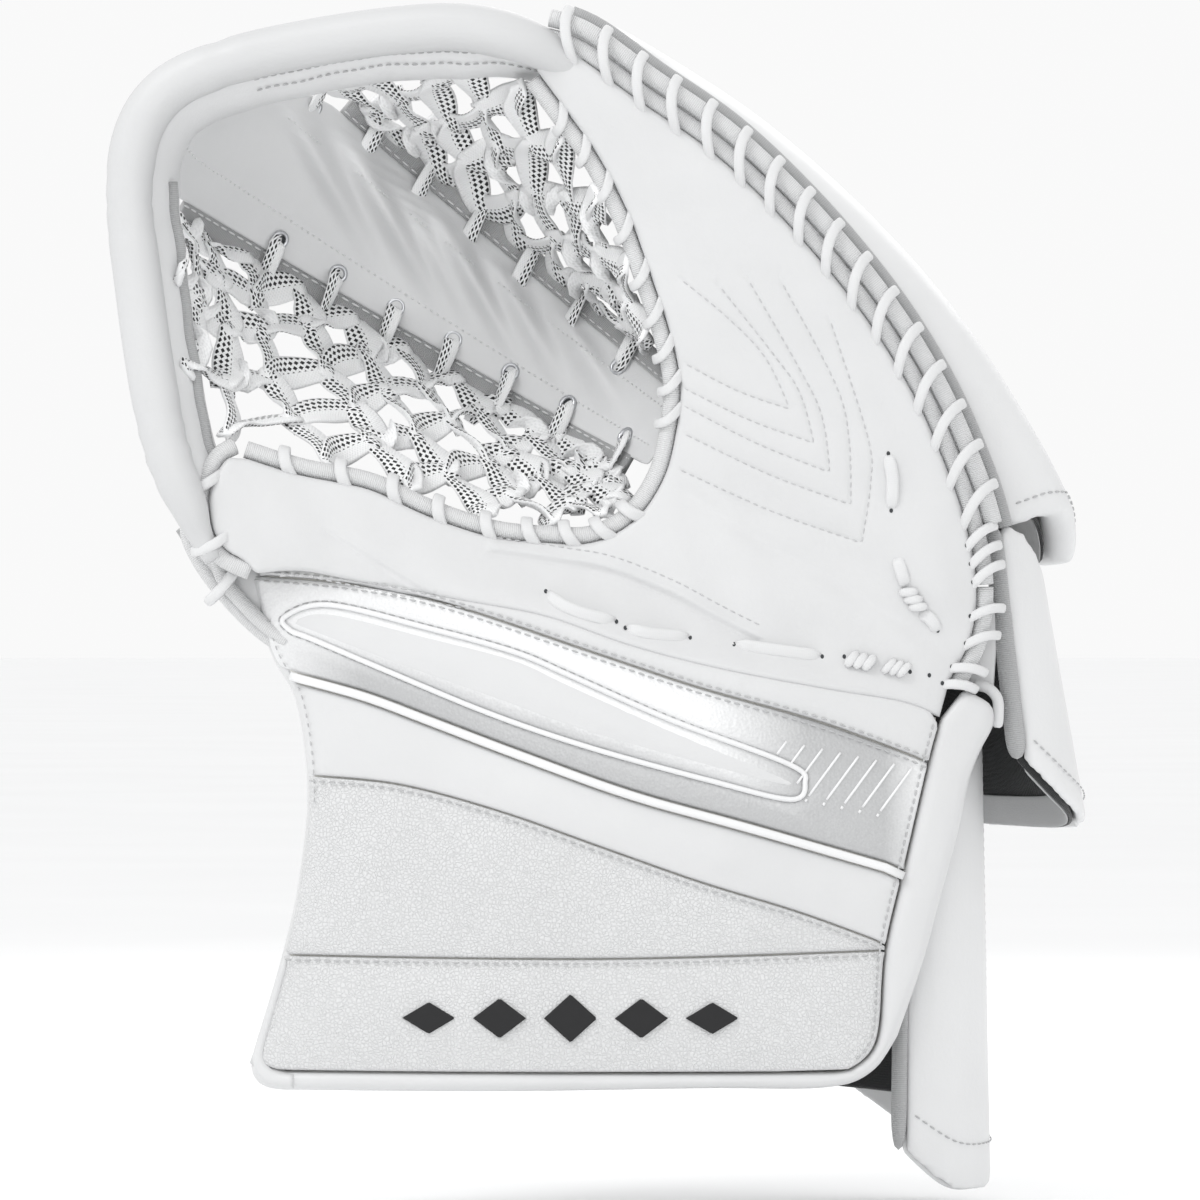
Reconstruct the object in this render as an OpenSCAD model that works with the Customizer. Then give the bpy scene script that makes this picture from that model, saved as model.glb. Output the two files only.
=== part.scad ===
// Goalie catch glove for the left hand, shown from the palm side.
// +X to the wearer's little finger, +Y from the palm to the back of the hand, +Z to the fingertips.
// The origin is the middle of the hand opening, level with the lower edge of the cuff plate.

/* [Palm] */
// Radius that the palm is cupped to, about the break line
palm_curve_r = 400; // [360:10:500]
// Thickness of the leather skin
skin_t = 2; // [1.6:0.1:2.2]
// Thickness of the palm foam
foam_t = 6; // [5:0.5:6.5]
// Thickness of the stiff plastic boards
board_t = 2; // [1.5:0.1:2.4]
// Thickness of the inner linings
liner_t = 1.5; // [1:0.1:1.8]
// Half width of the soft crease between the two palm boards
crease_w = 14; // [12:0.5:15]

/* [Pocket] */
// How far the tee bows back between the perimeter and the crook
pocket_sag = 72; // [60:1:76]
// Thickness of the tee
tee_t = 5; // [4:0.2:5.4]
// Diameter of the padded perimeter roll
roll_d = 15; // [13:0.5:16]
// Depth of the perimeter band behind the roll
band_depth = 30; // [24:1:32]
// Thickness of the woven pocket lacing
net_t = 3; // [2:0.2:3.4]

/* [Cuff] */
// Radius that the cuff plate wraps the wrist to
cuff_curve_r = 500; // [450:10:600]
// Thickness of the cuff's padded board
cuff_board_t = 10; // [8:0.5:11]
// Height of the lower binding
cuff_hem = 6.5; // [5:0.5:8]

/* [Trim] */
// Diameter of the nylon edge bindings
binding_d = 6; // [5:0.2:6.2]
// Diameter of the edge lacing
lace_d = 3.2; // [2.6:0.1:3.4]
// Radius of the whip stitches round the two laced edges
whip_r = 8; // [8:0.1:8.4]
// Width of the two hand straps
strap_w = 32; // [26:1:34]

/* [Hidden] */
gap = 0.4;           // clearance between neighbouring panels
far = 600;           // larger than the glove
palm_front = -42;    // depth of the palm surface on the break line
cuff_front = -58;    // depth of the cuff surface at its middle
break_tilt = 35;     // slope of the break line below +X
crook = [17, 228];   // X and Z of the pocket's crook, on the break line
tee_mid = -88;       // middle of the tee's bow, along the break line
tee_reach = 100;     // half the tee's chord
tee_end_y = -24;     // depth of the tee at the ends of its chord
binding_r = binding_d / 2;
lace_r = lace_d / 2;
palm_t = skin_t + foam_t + board_t + liner_t + 3 * gap / 2;

// ---- outlines, [x, z] in mm ----
pocket_edge = [[-124, 219], [-102, 212], [-78, 207], [-58, 198], [-37, 191], [-19, 189], [-3, 189],
    [10, 196], [19, 209], [23, 224], [24.5, 240], [21, 257], [15, 275], [7, 297], [-3, 316],
    [-14, 331], [-24, 345]];
outer_edge = [[-22, 359], [-7, 354], [14, 339], [41, 320], [68, 294], [92, 265], [109, 238],
    [120, 214], [127, 194], [131, 173], [129, 153], [121, 137]];
palm_foot = [[116, 127], [102, 132], [78, 136], [41, 143], [10, 151], [-19, 161], [-51, 167],
    [-85, 174], [-102, 177], [-118, 176]];
thumb_edge = [[-118, 176], [-128, 181], [-134, 190], [-135, 204], [-130, 215], [-124, 219]];
perimeter = [[-143, 207], [-148, 222], [-153, 248], [-157, 276], [-160, 303], [-157, 326], [-146, 341],
    [-125, 350], [-98, 356], [-70, 360], [-48, 361], [-31, 358]];
cuff_left = [[-118, 174], [-112, 150], [-103, 133], [-99, 102], [-102, 71], [-107, 48], [-115, 20]];
cuff_low = [[-119, 9], [-116, 2], [-108, 0], [-34, 0], [34, 1], [76, 1], [92, 6], [101, 18]];
cuff_right = [[110, 44], [116, 66], [122, 88], [126, 108], [127, 118], [120, 124]];
cuff_seam = [[85, 6.5], [94, 17], [97, 48], [104, 78], [112, 112], [115, 126]];
base_seam = [[-125, 46], [0, 45], [125, 47.6]];
grain_seam = [[-125, 108], [-99, 107], [-68, 104], [-34, 95], [0, 83], [34, 71], [68, 60.5], [100, 49],
    [125, 41]];
stripe_seam = [[-125, 143], [-104, 139], [-68, 132.6], [-27, 120.7], [17, 105], [68, 90], [104, 76.5],
    [125, 70]];
sheen_seam = [[-125, 177], [-85, 172], [-51, 165], [0, 148], [34, 136.7], [75, 125], [116, 110.5],
    [130, 105]];
window_edge = [[-108, 159], [-100, 163.5], [-68, 161.5], [-17, 149.6], [17, 134], [60, 113],
    [67.5, 104.5], [60, 100.5], [17, 110.5], [-34, 125.8], [-85, 146], [-103, 154]];
window_hole = [[-101, 157.6], [-96, 159], [-68, 157], [-18, 145.2], [15, 129.8], [55, 110.5],
    [59.5, 105.6], [55, 105.4], [18, 115], [-33, 130.3], [-84, 150.4], [-98, 155.6]];
// Palm lacing, as pairs of [x, z] ends that show on the leather
palm_stitches = [[[-18, 168], [-5, 158]], [[9, 153], [30, 151]], [[46, 151], [75, 147]],
    [[84, 147], [92, 143]], [[95, 144], [102, 141]], [[106, 138], [114, 140]],
    [[96, 179], [100, 171]], [[101, 168], [107, 162]], [[105, 158], [112, 154]]];

// ---- curves ----
function mix(a, b, t) = a + (b - a) * t;
function unit(v) = v / norm(v);
function spline(a, b, c, d, t) =
    0.5 * (2 * b + (c - a) * t + (2 * a - 5 * b + 4 * c - d) * t * t + (3 * b - a - 3 * c + d) * t * t * t);
// Point at t of 0 to 1 along a smooth curve through points
function at(p, t) = let(n = len(p) - 1, f = min(max(t, 0), 1) * n, i = min(floor(f), n - 1))
    spline(p[max(i - 1, 0)], p[i], p[i + 1], p[min(i + 2, n)], f - i);
function curve(p, n, from = 0, to = 1) = [for (i = [0:n]) at(p, mix(from, to, i / n))];
function closed_curve(p, k) = let(n = len(p))
    [for (i = [0:n - 1]) for (j = [0:k - 1])
        spline(p[(i + n - 1) % n], p[i], p[(i + 1) % n], p[(i + 2) % n], j / k)];
function flip(p) = [for (i = [len(p) - 1:-1:0]) p[i]];
function lengthwise(p, i) = unit(p[min(i + 1, len(p) - 1)] - p[max(i - 1, 0)]);
// A 2D curve moved d to the left of its own direction
function shift(p, d) = [for (i = [0:len(p) - 1]) let(t = lengthwise(p, i)) p[i] + d * [-t[1], t[0]]];
function inset_loop(p, d) = let(n = len(p))
    [for (i = [0:n - 1]) let(t = unit(p[(i + 1) % n] - p[(i + n - 1) % n])) p[i] + d * [-t[1], t[0]]];

// ---- the palm's own coordinates ----
function across(p) = (p[0] - crook[0]) * sin(break_tilt) + (p[1] - crook[1]) * cos(break_tilt);
function place(s, u) = [crook[0] + s * cos(break_tilt) + u * sin(break_tilt),
                        crook[1] - s * sin(break_tilt) + u * cos(break_tilt)];
function palm_y(p) = palm_front - palm_curve_r + sqrt(pow(palm_curve_r, 2) - pow(across(p), 2));
function lift(p, dy) = [p[0], palm_y(p) + dy, p[1]];
tee_r = (pow(tee_reach, 2) + pow(pocket_sag, 2)) / (2 * pocket_sag);
function tee_y(s) = tee_end_y + pocket_sag - tee_r + sqrt(pow(tee_r, 2) - pow(s - tee_mid, 2));
function tee_half(s) = mix(12.5, 30, min(max((8 - s) / 190, 0), 1));
function tee_end(u) = -187 + pow(u + 8, 2) / 62;
// Point of the tee at t of 0 to 1 from the perimeter to the crook, v of -1 to 1 across it
function tee_point(t, v, dy, wide = 0) =
    let(s0 = tee_end(v * 30), s = mix(s0, 8, t), u = v * tee_half(s) + sign(v) * wide, q = place(s, u))
    [q[0], tee_y(s) + dy, q[1]];

// ---- builders ----
module slab(outline) translate([0, far / 2, 0]) rotate([90, 0, 0]) linear_extrude(far) polygon(outline);
module palm_shell(from, thick) translate([crook[0], palm_front - palm_curve_r, crook[1]])
    rotate([0, 90 + break_tilt, 0]) difference() {
        cylinder(h = far, r = palm_curve_r + from + thick, center = true, $fn = 200);
        cylinder(h = far + 2, r = palm_curve_r + from, center = true, $fn = 200);
    }
module cuff_shell(from, thick) translate([0, cuff_front + cuff_curve_r, 0]) difference() {
    cylinder(h = far, r = cuff_curve_r - from, $fn = 200);
    translate([0, 0, -1]) cylinder(h = far + 2, r = cuff_curve_r - from - thick, $fn = 200);
}
module palm_side(from, to) translate([crook[0], 0, crook[1]]) rotate([0, break_tilt, 0])
    translate([-far / 2, -far / 2, from]) cube([far, far, to - from]);
module on_break(s, u, y) {
    q = place(s, u);
    translate([q[0], y, q[1]]) rotate([0, break_tilt, 0]) children();
}

// Closed solid between two grids of points
module thick_sheet(front, back) {
    m = len(front) - 1;
    n = len(front[0]) - 1;
    k = (m + 1) * (n + 1);
    points = concat([for (r = front) for (p = r) p], [for (r = back) for (p = r) p]);
    function at_(i, j) = i * (n + 1) + j;
    faces = concat(
        [for (i = [0:m - 1]) for (j = [0:n - 1]) each
            [[at_(i, j), at_(i + 1, j), at_(i + 1, j + 1)], [at_(i, j), at_(i + 1, j + 1), at_(i, j + 1)],
             [k + at_(i, j), k + at_(i + 1, j + 1), k + at_(i + 1, j)],
             [k + at_(i, j), k + at_(i, j + 1), k + at_(i + 1, j + 1)]]],
        [for (i = [0:m - 1]) each
            [[at_(i + 1, 0), at_(i, 0), k + at_(i, 0)], [at_(i + 1, 0), k + at_(i, 0), k + at_(i + 1, 0)],
             [at_(i, n), at_(i + 1, n), k + at_(i + 1, n)], [at_(i, n), k + at_(i + 1, n), k + at_(i, n)]]],
        [for (j = [0:n - 1]) each
            [[at_(0, j), at_(0, j + 1), k + at_(0, j + 1)], [at_(0, j), k + at_(0, j + 1), k + at_(0, j)],
             [at_(m, j + 1), at_(m, j), k + at_(m, j)], [at_(m, j + 1), k + at_(m, j), k + at_(m, j + 1)]]]);
    polyhedron(points, faces, convexity = 6);
}
// Profile points [out, back] swept along a 3D path that runs mostly in the XZ plane
module sweep(path, profile) {
    n = len(path) - 1;
    k = len(profile);
    points = [for (i = [0:n])
        let(t = lengthwise(path, i), e = unit(cross([0, 1, 0], t)), b = unit(cross(t, e)))
        for (q = profile) path[i] + q[0] * e + q[1] * b];
    faces = concat(
        [for (i = [0:n - 1]) for (j = [0:k - 1]) let(a = i * k + j, b = i * k + (j + 1) % k) each
            [[a, a + k, b + k], [a, b + k, b]]],
        [[for (j = [0:k - 1]) j]], [[for (j = [k - 1:-1:0]) n * k + j]]);
    polyhedron(points, faces, convexity = 6);
}
function ring_profile(r, sides = 8) =
    [for (i = [0:sides - 1]) r * [cos(360 * i / sides), sin(360 * i / sides)]];
module cord(path, r, sides = 8) sweep(path, ring_profile(r, sides));
// Torus round an edge, its plane square to the edge's direction t
module whip(centre, t, r_big, r) translate(centre) rotate([0, -atan2(t[1], t[0]), 0]) rotate([0, 90, 0])
    rotate_extrude($fn = 32) translate([r_big, 0]) circle(r, $fn = 16);
module stitch(a, b, r) {
    d = b - a;
    translate(a) rotate([0, acos(d[2] / norm(d)), atan2(d[1], d[0])]) cylinder(h = norm(d), r = r, $fn = 16);
}
// Sheet of diamond cells: each cell of the grid is a frame round a hole
module net_sheet(grid, thick, hole) {
    m = len(grid) - 1;
    n = len(grid[0]) - 1;
    w = n + 1;
    k = (m + 1) * w;
    cells = [for (i = [0:m - 1]) for (j = [0:n - 1]) [i, j]];
    corners = [for (c = cells)
        [grid[c[0]][c[1]], grid[c[0] + 1][c[1]], grid[c[0] + 1][c[1] + 1], grid[c[0]][c[1] + 1]]];
    inner = [for (q = corners) let(mid = (q[0] + q[1] + q[2] + q[3]) / 4) for (p = q) mix(mid, p, hole)];
    top = concat([for (r = grid) for (p = r) p], inner);
    total = len(top);
    points = concat(top, [for (p = top) p + [0, thick, 0]]);
    function g(i, j) = i * w + j;
    faces = concat(
        [for (c = [0:len(cells) - 1]) let(i = cells[c][0], j = cells[c][1],
                o = [g(i, j), g(i + 1, j), g(i + 1, j + 1), g(i, j + 1)]) for (e = [0:3])
            let(a = o[e], b = o[(e + 1) % 4], d = k + 4 * c + e, f = k + 4 * c + (e + 1) % 4) each
            [[a, b, f], [a, f, d], [a + total, f + total, b + total], [a + total, d + total, f + total],
             [d, f, f + total], [d, f + total, d + total]]],
        [for (i = [0:m - 1]) each let(a = g(i, 0), b = g(i + 1, 0), c = g(i, n), d = g(i + 1, n))
            [[b, a, a + total], [b, a + total, b + total], [c, d, d + total], [c, d + total, c + total]]],
        [for (j = [0:n - 1]) each let(a = g(0, j), b = g(0, j + 1), c = g(m, j), d = g(m, j + 1))
            [[a, b, b + total], [a, b + total, a + total], [d, c, c + total], [d, c + total, d + total]]]);
    polyhedron(points, faces, convexity = 10);
}

// ---- cuff ----
cuff_edge_left = curve(cuff_left, 12);
cuff_top = curve(palm_foot, 18, 0.04, 0.98);
cuff_outline = concat(cuff_edge_left, curve(cuff_low, 14), curve(cuff_right, 10), shift(cuff_top, gap + 0.3));
// Panelled area of the cuff, drawn in by d
function cuff_area(d) = concat(shift(cuff_edge_left, d),
    [[-115 + d, cuff_hem + gap + d], [83, cuff_hem + gap + d]],
    shift(curve(cuff_seam, 10, 0.04, 0.95), gap + d), shift(cuff_top, gap + 0.3 + d));
cuff_field = cuff_area(0);
function between(low, high) = concat(shift(curve(low, 16), gap / 2), flip(shift(curve(high, 16), -gap / 2)));
module cuff_panel(low, high) intersection() {
    slab(cuff_field);
    slab(between(low, high));
    cuff_shell(0, skin_t);
}
hem_line = [[-125, cuff_hem], [0, cuff_hem], [125, cuff_hem]];
top_line = [[-125, 190], [0, 190], [125, 190]];
window_out = closed_curve(window_edge, 3);
window_in = closed_curve(window_hole, 3);
cuff_back_from = skin_t + gap;
module cuff_board() color("gainsboro") intersection() {
    slab(cuff_area(1));
    cuff_shell(cuff_back_from, cuff_board_t);
}
module cuff_liner() color("lightgray") intersection() {
    slab(cuff_area(1));
    cuff_shell(cuff_back_from + cuff_board_t + gap, liner_t);
}
module cuff_base_panel() color("whitesmoke") cuff_panel(hem_line, base_seam);
module cuff_grain_panel() color("white") cuff_panel(base_seam, grain_seam);
module cuff_smooth_stripe() color("white") cuff_panel(grain_seam, stripe_seam);
module cuff_sheen_panel() color("silver") difference() {
    cuff_panel(stripe_seam, sheen_seam);
    slab(inset_loop(window_out, gap));
}
module cuff_window_inlay() color("white") intersection() {
    slab(inset_loop(window_in, -gap));
    cuff_shell(0, skin_t);
}
module cuff_top_strip() color("white") cuff_panel(sheen_seam, top_line);
module cuff_piping() color("white") union() {
    intersection() {
        difference() {
            slab(window_out);
            slab(window_in);
        }
        cuff_shell(-0.8, skin_t + 0.8);
    }
    intersection() {
        slab(cuff_field);
        slab(between(shift(stripe_seam, 0.5), shift(stripe_seam, 4.5)));
        cuff_shell(-1.2, 1.1);
    }
}
module cuff_binding() color("white") intersection() {
    difference() {
        slab(cuff_outline);
        slab(cuff_area(-gap));
        translate([-far / 2, -far / 2, cuff_hem + 2]) cube([far / 2 + 60, far, far]);
    }
    cuff_shell(-0.5, cuff_back_from + cuff_board_t + gap + liner_t + 1);
}
module cuff_emblem() color("black") for (i = [-2:2])
    intersection() {
        slab([[-25 + i * 22 - 8, 25], [-25 + i * 22, 25 - 8 + abs(i) * 1.5], [-25 + i * 22 + 8, 25],
              [-25 + i * 22, 25 + 8 - abs(i) * 1.5]]);
        cuff_shell(-0.45, 0.4);
    }

// ---- palm ----
palm_outline = concat(
    shift(curve(pocket_edge, 44, 0.03, 1), -binding_r - 0.3),
    shift(curve(outer_edge, 30, 0, 0.98), -binding_r - 0.3),
    curve(palm_foot, 18, 0.01, 0.98), shift(curve(thumb_edge, 8, 0.12, 0.85), -binding_r - 0.3));
// The stiff core stops short of the laced edges
core_in = binding_r + 0.3 + 9.5;
palm_core = concat(
    shift(curve(pocket_edge, 36, 0.1, 0.84), -core_in), shift(curve(outer_edge, 26, 0.2, 0.9), -core_in),
    curve(palm_foot, 18, 0.08, 0.9), shift(curve(thumb_edge, 6, 0.3, 0.6), -core_in));
module palm_layer(from, thick, low, high, outline = palm_core) intersection() {
    slab(outline);
    palm_shell(from, thick);
    palm_side(low, high);
}
foam_from = skin_t + gap / 2;
board_from = foam_from + foam_t + gap / 2;
liner_from = board_from + board_t + gap / 2;
module palm_skin_thumb() color("white") palm_layer(0, skin_t, -far / 2, -crease_w, palm_outline);
module palm_foam_thumb() color("lightyellow") palm_layer(foam_from, foam_t, -far / 2, -crease_w);
module thumb_board() color("dimgray") palm_layer(board_from, board_t, -far / 2, -crease_w);
module thumb_liner() color("black") palm_layer(liner_from, liner_t, -far / 2, -crease_w);
module palm_crease() color("white") palm_layer(0, skin_t, -crease_w + gap, crease_w - gap, palm_outline);
module palm_skin_finger() color("white") palm_layer(0, skin_t, crease_w, far / 2, palm_outline);
module palm_foam_finger() color("lightyellow") palm_layer(foam_from, foam_t, crease_w, far / 2);
module finger_board() color("dimgray") palm_layer(board_from, board_t, crease_w, far / 2);
module finger_liner() color("black") palm_layer(liner_from, liner_t, crease_w, far / 2);
module palm_laces() color("snow") for (q = palm_stitches) stitch(lift(q[0], -2.1), lift(q[1], -2.1), lace_r);

// ---- bindings and lacing round the palm ----
edge_back = 5; // depth of the bound edges behind the palm surface
function on_palm(p, n, from, to, out = 0, dy = edge_back) =
    [for (q = shift(curve(p, n, from, to), -out)) lift(q, dy)];
module whips(p, from, to, count, r_big, out) {
    q = curve(p, count - 1, from, to);
    for (i = [0:count - 1]) {
        t = lengthwise(q, i);
        c = q[i] + out * [-t[1], t[0]];
        whip(lift(c, edge_back), t, r_big, lace_r);
    }
}
module pocket_binding() color("lightgray") cord(on_palm(pocket_edge, 36, 0.03, 0.98), binding_r);
module pocket_lace_thumb() color("snow") whips(pocket_edge, 0.05, 0.44, 9, 6, 0);
module pocket_lace_finger() color("snow") whips(pocket_edge, 0.62, 0.93, 8, 6.2, 0);
module thumb_edge_binding() color("lightgray") cord(on_palm(thumb_edge, 10, 0.02, 0.86), binding_r);
module thumb_edge_lace() color("snow") whips(thumb_edge, 0.3, 0.6, 2, 6.4, 0);
module palm_edge_binding() color("lightgray") cord(on_palm(outer_edge, 24, 0.02, 0.8), binding_r);
module heel_edge_binding() color("lightgray") cord(on_palm(outer_edge, 6, 0.94, 1), binding_r);
module heel_edge_lace() color("snow") whips(outer_edge, 0.96, 0.985, 2, 6.4, 0);
module backhand_edge_binding() color("lightgray")
    cord(on_palm(outer_edge, 24, 0.05, 0.73, -binding_d - gap), binding_r);
module edge_lace() color("snow") {
    whips(outer_edge, 0.09, 0.7, 15, whip_r, 3.2);
    whips(outer_edge, 0.75, 0.79, 2, 6.4, 0);
}

// ---- pocket ----
tee_steps = 16;
tee_across = [-1, -0.5, 0, 0.5, 1];
tee_face_t = tee_t / 2 - 0.1;
function tee_grid(dy) = [for (i = [0:tee_steps]) [for (v = tee_across) tee_point(i / tee_steps, v, dy)]];
module tee_front() color("white") thick_sheet(tee_grid(tee_face_t), tee_grid(0));
module tee_back() color("white") thick_sheet(tee_grid(tee_t), tee_grid(tee_face_t + 0.2));
function tee_strip(side, dy) = [for (i = [0:tee_steps])
    [for (w = side > 0 ? [0.5, 6] : [6, 0.5]) tee_point(i / tee_steps * 0.96 + 0.02, side, dy, w)]];
module tee_binding_lower() color("silver") thick_sheet(tee_strip(-1, 3.8), tee_strip(-1, 1.2));
module tee_binding_upper() color("silver") thick_sheet(tee_strip(1, 3.8), tee_strip(1, 1.2));
function tee_slope(s) = atan(-(s - tee_mid) / sqrt(pow(tee_r, 2) - pow(s - tee_mid, 2)));
module tee_eyelets() color("gainsboro") for (side = [-1, 1]) for (i = [0:6]) {
    s = -150 - side * 8 + i * 23;
    on_break(s, side * (tee_half(s) - 5), tee_y(s) + tee_t / 2)
        rotate([0, 0, tee_slope(s)]) rotate([90, 0, 0]) difference() {
            cylinder(h = tee_t + 1.6, r = 3.4, center = true, $fn = 24);
            cylinder(h = tee_t + 3, r = 2, center = true, $fn = 24);
        }
}
lower_rim = [[-139, 292], [-138, 268], [-132, 243], [-120, 225], [-100, 219], [-78, 213], [-58, 205],
    [-37, 198], [-19, 195.5], [-3, 196]];
upper_rim = [[-96, 346], [-72, 350], [-50, 350], [-34, 342], [-23, 330], [-11, 313], [-1, 294], [6, 277]];
// Net point between the tee's edge (v = 0) and the pocket's rim (v = 1)
function net_point(rim, side, t, v) =
    let(last = side > 0 ? 0.7 : 0.93, a = tee_point(mix(0.06, last, t), side, 1, 8), b = lift(at(rim, t), 9))
    mix(a, b, v);
net_cols = 10;
net_rows = 4;
// Alternate rows lean opposite ways, which turns the holes into diamonds
function lean(i, j) = i > 0 && i < net_cols ? 0.35 * (j % 2 * 2 - 1) : 0;
function net_grid(rim, side) = [for (i = [0:net_cols]) [for (j = [0:net_rows])
    net_point(rim, side, (i + lean(i, j)) / net_cols, j / net_rows)]];
module lower_net() color("snow") net_sheet(net_grid(lower_rim, -1), net_t, 0.62);
module upper_net() color("snow") net_sheet([for (r = net_grid(upper_rim, 1)) flip(r)], net_t, 0.62);

// ---- perimeter ----
roll_path = [for (q = curve(perimeter, 32)) lift(q, -2)];
module perimeter_roll() color("white") cord(roll_path, roll_d / 2, 10);
band_front = roll_d / 2 + gap;
band_back = roll_d / 2 + band_depth;
module perimeter_band() color("lightgray")
    sweep(roll_path, [[-2, band_front], [2.4, band_front], [2.4, band_back], [-2, band_back]]);

// ---- back of the thumb ----
thumb_top = [[-137, 203], [-116, 206], [-86, 203], [-55, 193], [-25, 184]];
thumb_low = [[-141, 193], [-126, 172], [-104, 158], [-66, 148], [-25, 140]];
thumb_rise = 39;
function thumb_point(t, v, inward) =
    let(q = mix(at(thumb_top, t), at(thumb_low, t), v),
        base = mix(palm_y(q) + palm_t + 1, -30, min(v * 2, 1)),
        rise = mix(30, thumb_rise, min(t * 3, 1)) - inward)
    [q[0], base + rise * pow(sin(180 * (0.06 + 0.88 * v)), 0.6), q[1]];
function thumb_grid(inward) = [for (i = [0:10]) [for (j = [0:8]) thumb_point(i / 10, j / 8, inward)]];
module thumb_back_pad() color("white") thick_sheet(thumb_grid(8), thumb_grid(0));
thumb_hem = shift(curve(thumb_low, 10), -2.8);
module thumb_pad_binding() color("lightgray")
    cord([for (i = [0:10]) [thumb_hem[i][0], thumb_point(i / 10, 1, 3)[1], thumb_hem[i][1]]], 2.4);
module thumb_pad_liner() color("black") thick_sheet(thumb_grid(8 + gap + liner_t), thumb_grid(8 + gap));

// ---- back of the fingers ----
pad_t = 14;
pad_core = [-10, 4];
// Cross-section of the backhand pad, [out, back]; b is its bulge beyond the palm's edge, w its width behind
function pad_section(b, w, yp) = [[10.5, yp + 22], [10.5 + 0.7 * b, yp + 30], [10.5 + b, -4], [10.5 + b, 14],
    [10.5 + 0.6 * b, 37], [-8, 53], [-0.5 * w, 58], [-w, 56]];
pad_reach = [0.755, 0.765, 0.79, 0.80, 0.77, 0.72, 0.70, 0.69];
function pad_point(t, j, inward) =
    let(f = mix(0.06, pad_reach[j], t), q = at(outer_edge, f), h = at(outer_edge, f + 0.01),
        e = unit([q[1] - h[1], h[0] - q[0]]) * -1,
        b = mix(4, 27, pow(t, 1.35)), w = mix(26, 74, min(t * 1.8, 1)),
        p = pad_section(b, w, palm_y(q))[j], c = pad_core,
        r = c + (p - c) * (1 - inward / norm(p - c)))
    [q[0] + e[0] * r[0] * -1, r[1], q[1] + e[1] * r[0] * -1];
function pad_grid(inward) = [for (i = [0:14]) [for (j = [0:7]) pad_point(i / 14, j, inward)]];
module backhand_pad() color("white") thick_sheet(pad_grid(pad_t), pad_grid(0));
module backhand_liner() color("black") thick_sheet(pad_grid(pad_t + gap + liner_t), pad_grid(pad_t + gap));
module backhand_pad_binding() color("silver")
    cord([for (i = [0:14]) pad_point(i / 14, 0, 0) - [0, 2.8, 0]], 2.4);
divider_x = [37, 57, 77, 97];
divider_top = [284, 284, 262, 236];
module finger_dividers() color("black") intersection() {
    for (i = [0:3]) translate([divider_x[i] - 1, -far / 2, 206]) cube([2, far, divider_top[i] - 206]);
    palm_shell(liner_from + liner_t + gap, 19);
}

// ---- guards round the wrist ----
guard_t = 5;
wrist_top = [[139, -25], [147, -18], [153, -5], [150, 14], [136, 30], [112, 41], [88, 44]];
wrist_low = [[148, -27], [160, -20], [168, -5], [166, 18], [150, 39], [122, 52], [90, 56]];
wrist_top_z = [172, 172, 169, 167, 162, 160, 160];
wrist_low_z = [112, 100, 92, 88, 88, 90, 94];
cuff_guard_top = [[108, -24], [121, -19], [130, -8], [132, 6], [122, 22], [100, 32], [74, 36]];
cuff_guard_low = [[106, -25], [122, -20], [133, -7], [135, 12], [124, 33], [98, 45], [70, 49]];
cuff_guard_top_z = [112, 118, 122, 122, 120, 118, 114];
cuff_guard_low_z = [-22, -34, -36, -34, -26, -10, 8];
function guard_grid(top, low, top_z, low_z, inward) = [for (i = [0:8]) [for (j = [0:12])
    let(f = j / 12, p = mix(at(top, f), at(low, f), i / 8), z = mix(at(top_z, f), at(low_z, f), i / 8),
        c = [95, 0], r = c + (p - c) * (1 - inward / norm(p - c)))
    [r[0], r[1], z]]];
module guard(top, low, top_z, low_z, from, thick) thick_sheet(
    guard_grid(top, low, top_z, low_z, from + thick), guard_grid(top, low, top_z, low_z, from));
module wrist_guard() color("white") guard(wrist_top, wrist_low, wrist_top_z, wrist_low_z, 0, guard_t);
module wrist_guard_liner() color("black")
    guard(wrist_top, wrist_low, wrist_top_z, wrist_low_z, guard_t + gap, liner_t);
module wrist_guard_binding() color("silver") guard_edge(wrist_top, wrist_low, wrist_top_z, wrist_low_z);
module cuff_guard() color("white")
    guard(cuff_guard_top, cuff_guard_low, cuff_guard_top_z, cuff_guard_low_z, 0, guard_t);
module cuff_guard_liner() color("gray")
    guard(cuff_guard_top, cuff_guard_low, cuff_guard_top_z, cuff_guard_low_z, guard_t + gap, liner_t);
module cuff_guard_binding() color("silver")
    guard_edge(cuff_guard_top, cuff_guard_low, cuff_guard_top_z, cuff_guard_low_z);
// Strip that caps a guard's front edge
module guard_edge(top, low, top_z, low_z) {
    out = guard_grid(top, low, top_z, low_z, -0.6);
    in = guard_grid(top, low, top_z, low_z, guard_t + gap + liner_t);
    function ahead(i) = let(d = out[i][0] - out[i][1]) unit([d[0], d[1], 0]);
    thick_sheet([for (i = [0:8]) [out[i][0] + ahead(i) * 0.4, out[i][0] + ahead(i) * 5]],
        [for (i = [0:8]) [in[i][0] + ahead(i) * 0.4, in[i][0] + ahead(i) * 5]]);
}

// ---- panel and straps behind the hand ----
back_wall = [[-8, 15], [20, 20], [52, 21], [84, 17], [106, 8]];
back_outline = [[-9, 6], [107, -4], [107, 112], [104, 132], [76, 160], [44, 182], [14, 188], [0, 168],
    [-9, 130]];
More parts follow.
